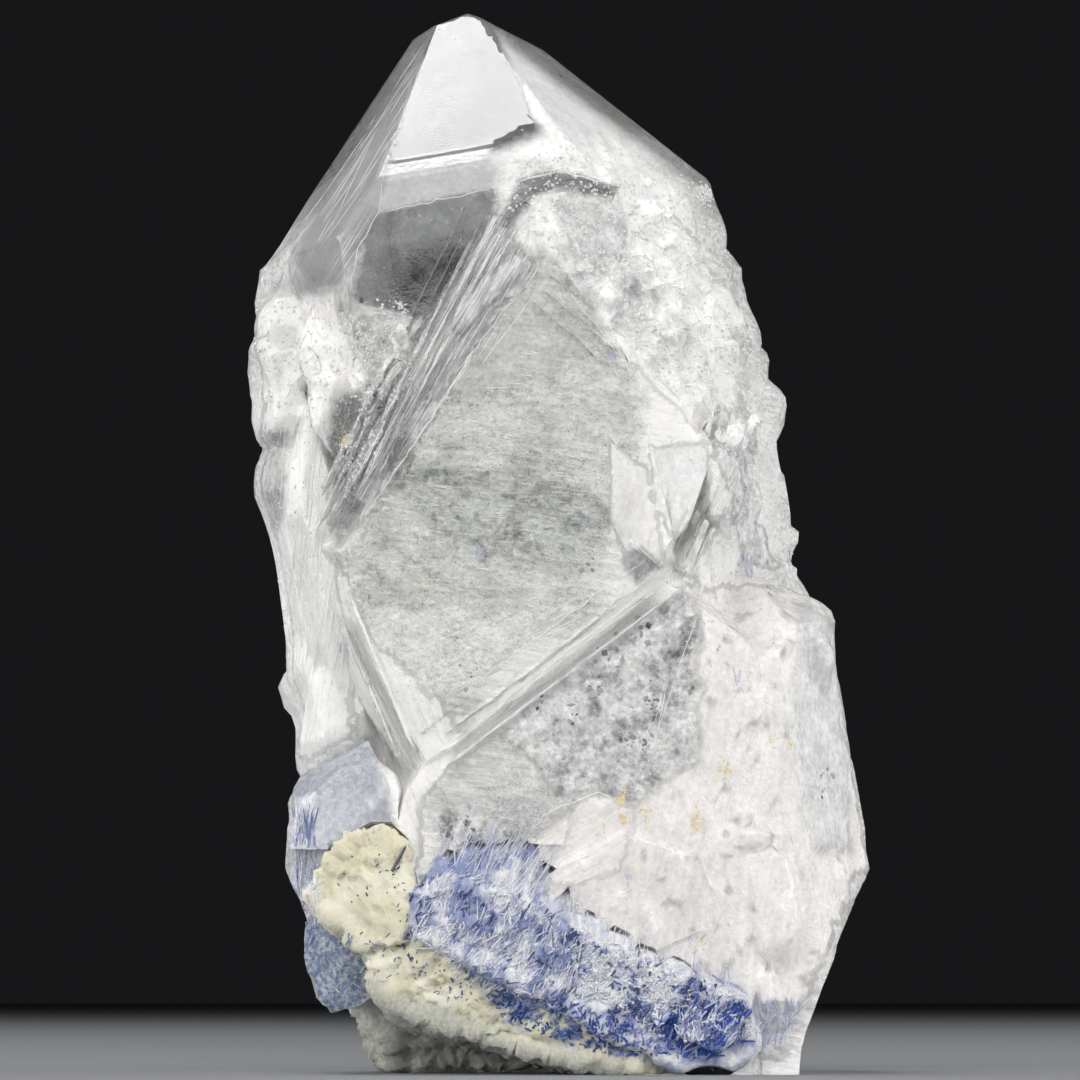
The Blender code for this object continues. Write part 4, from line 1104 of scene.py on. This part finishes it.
def make_lines(surface):
    rng = random.Random(31)
    heap = Heap()
    for outline, number, angle, lengths, widths, colour in LINE_GROUPS:
        for _ in range(number):
            start = random_pixel(rng, outline)
            turn = math.radians(angle + rng.gauss(0, 3.0))
            count = int(rng.uniform(*lengths) / LINE_STEP) + 2
            pixels = [(start[0] + math.cos(turn) * LINE_STEP * k, start[1] - math.sin(turn) * LINE_STEP * k)
                      for k in range(count)]
            kept = [pixel for pixel in pixels if inside_share(np.array([pixel]), outline, 0.01)[0] > 0.5]
            if len(kept) > 1:
                heap.rib(surface, kept, rng.uniform(*widths) / 2, colour)
    # Painted highlights: white ribs along the edges of faces
    for width, corners in HIGHLIGHT_SEAMS:
        pixels = []
        for (x0, y0), (x1, y1) in zip(corners, corners[1:]):
            count = max(2, int(math.hypot(x1 - x0, y1 - y0) / SEAM_STEP))
            pixels += [(x0 + (x1 - x0) * k / count + rng.gauss(0, 0.7),
                        y0 + (y1 - y0) * k / count + rng.gauss(0, 0.7)) for k in range(count)]
        heap.rib(surface, pixels + [corners[-1]], width / 2, BRIGHT)
    return heap.make("quartz_lines", detail_material("quartz_lines", 0.1))


# Stage

MIDDLE = (0.0, 0.0, 0.016)
NEUTRAL = (1.0, 1.0, 1.0)
WARM = (1.0, 0.985, 0.965)
FLOOR_REACH = 3.0

# Soft lights: name, place, what it is turned to, width and height, power in watts, colour
LIGHTS = (
    ("tip_light", (-0.09, 0.020, 0.42), (-0.05, 0.01, 0.0), (0.12, 0.14), 0.60, NEUTRAL),
    ("overhead", (0.0, 0.20, 0.40), (0.0, 0.19, 0.0), (0.50, 0.20), 0.07, NEUTRAL),
    ("top_front", (-0.05, -0.28, 0.30), MIDDLE, (0.30, 0.16), 0.50, WARM),
    ("left", (-0.31, -0.25, 0.10), MIDDLE, (0.18, 0.20), 0.62, WARM),
    ("right", (0.33, -0.20, 0.10), MIDDLE, (0.18, 0.20), 0.74, WARM),
    ("back_left", (-0.36, 0.12, 0.10), MIDDLE, (0.15, 0.16), 0.40, NEUTRAL),
    ("back_right", (0.36, 0.12, 0.11), MIDDLE, (0.15, 0.16), 0.36, NEUTRAL),
    ("fill", (-0.02, -0.40, 0.16), MIDDLE, (0.34, 0.18), 0.30, WARM),
)


def make_camera():
    data = bpy.data.cameras.new("camera")
    camera = bpy.data.objects.new("camera", data)
    bpy.context.scene.collection.objects.link(camera)
    data.sensor_width = 36.0
    data.lens = data.sensor_width / 2 / HALF_VIEW
    data.clip_start, data.clip_end = 0.005, 20.0
    camera.location = Vector(CAMERA_PLACE) * MM
    camera.rotation_euler = (math.pi / 2 + CAMERA_TILT, 0.0, 0.0)
    bpy.context.scene.camera = camera


def make_softbox(name, place, target, size, power, colour):
    data = bpy.data.lights.new(name, "AREA")
    data.shape = "RECTANGLE"
    data.size, data.size_y = size
    data.energy = power
    data.color = colour
    light = bpy.data.objects.new(name, data)
    bpy.context.scene.collection.objects.link(light)
    light.location = place
    light.rotation_euler = (Vector(target) - Vector(place)).to_track_quat("-Z", "Y").to_euler()


def make_stage():
    mesh = bpy.data.meshes.new("floor")
    corners = [(x * FLOOR_REACH, y * FLOOR_REACH, 0) for x, y in ((-1, -1), (1, -1), (1, 1), (-1, 1))]
    mesh.from_pydata(corners, [], [(0, 1, 2, 3)])
    nodes = Nodes("floor")
    nodes.set(Base_Color=FLOOR_COLOUR, Roughness=0.8)
    mesh.materials.append(nodes.material)
    floor = bpy.data.objects.new("floor", mesh)
    bpy.context.scene.collection.objects.link(floor)

    world = bpy.data.worlds.new("world")
    world.use_nodes = True
    world.node_tree.nodes["Background"].inputs["Color"].default_value = (*BACKDROP, 1.0)
    bpy.context.scene.world = world
    for light in LIGHTS:
        make_softbox(*light)
    bpy.context.scene.view_settings.view_transform = "Standard"


def main():
    make_camera()
    make_stage()
    quartz = make_quartz()
    feldspar = make_feldspar()
    blue = make_blue_layer()
    surface = surface_of(quartz, feldspar, blue)
    make_needles(surface)
    make_stains(surface)
    make_shards(surface)
    make_flecks(surface)
    make_lines(surface)


main()
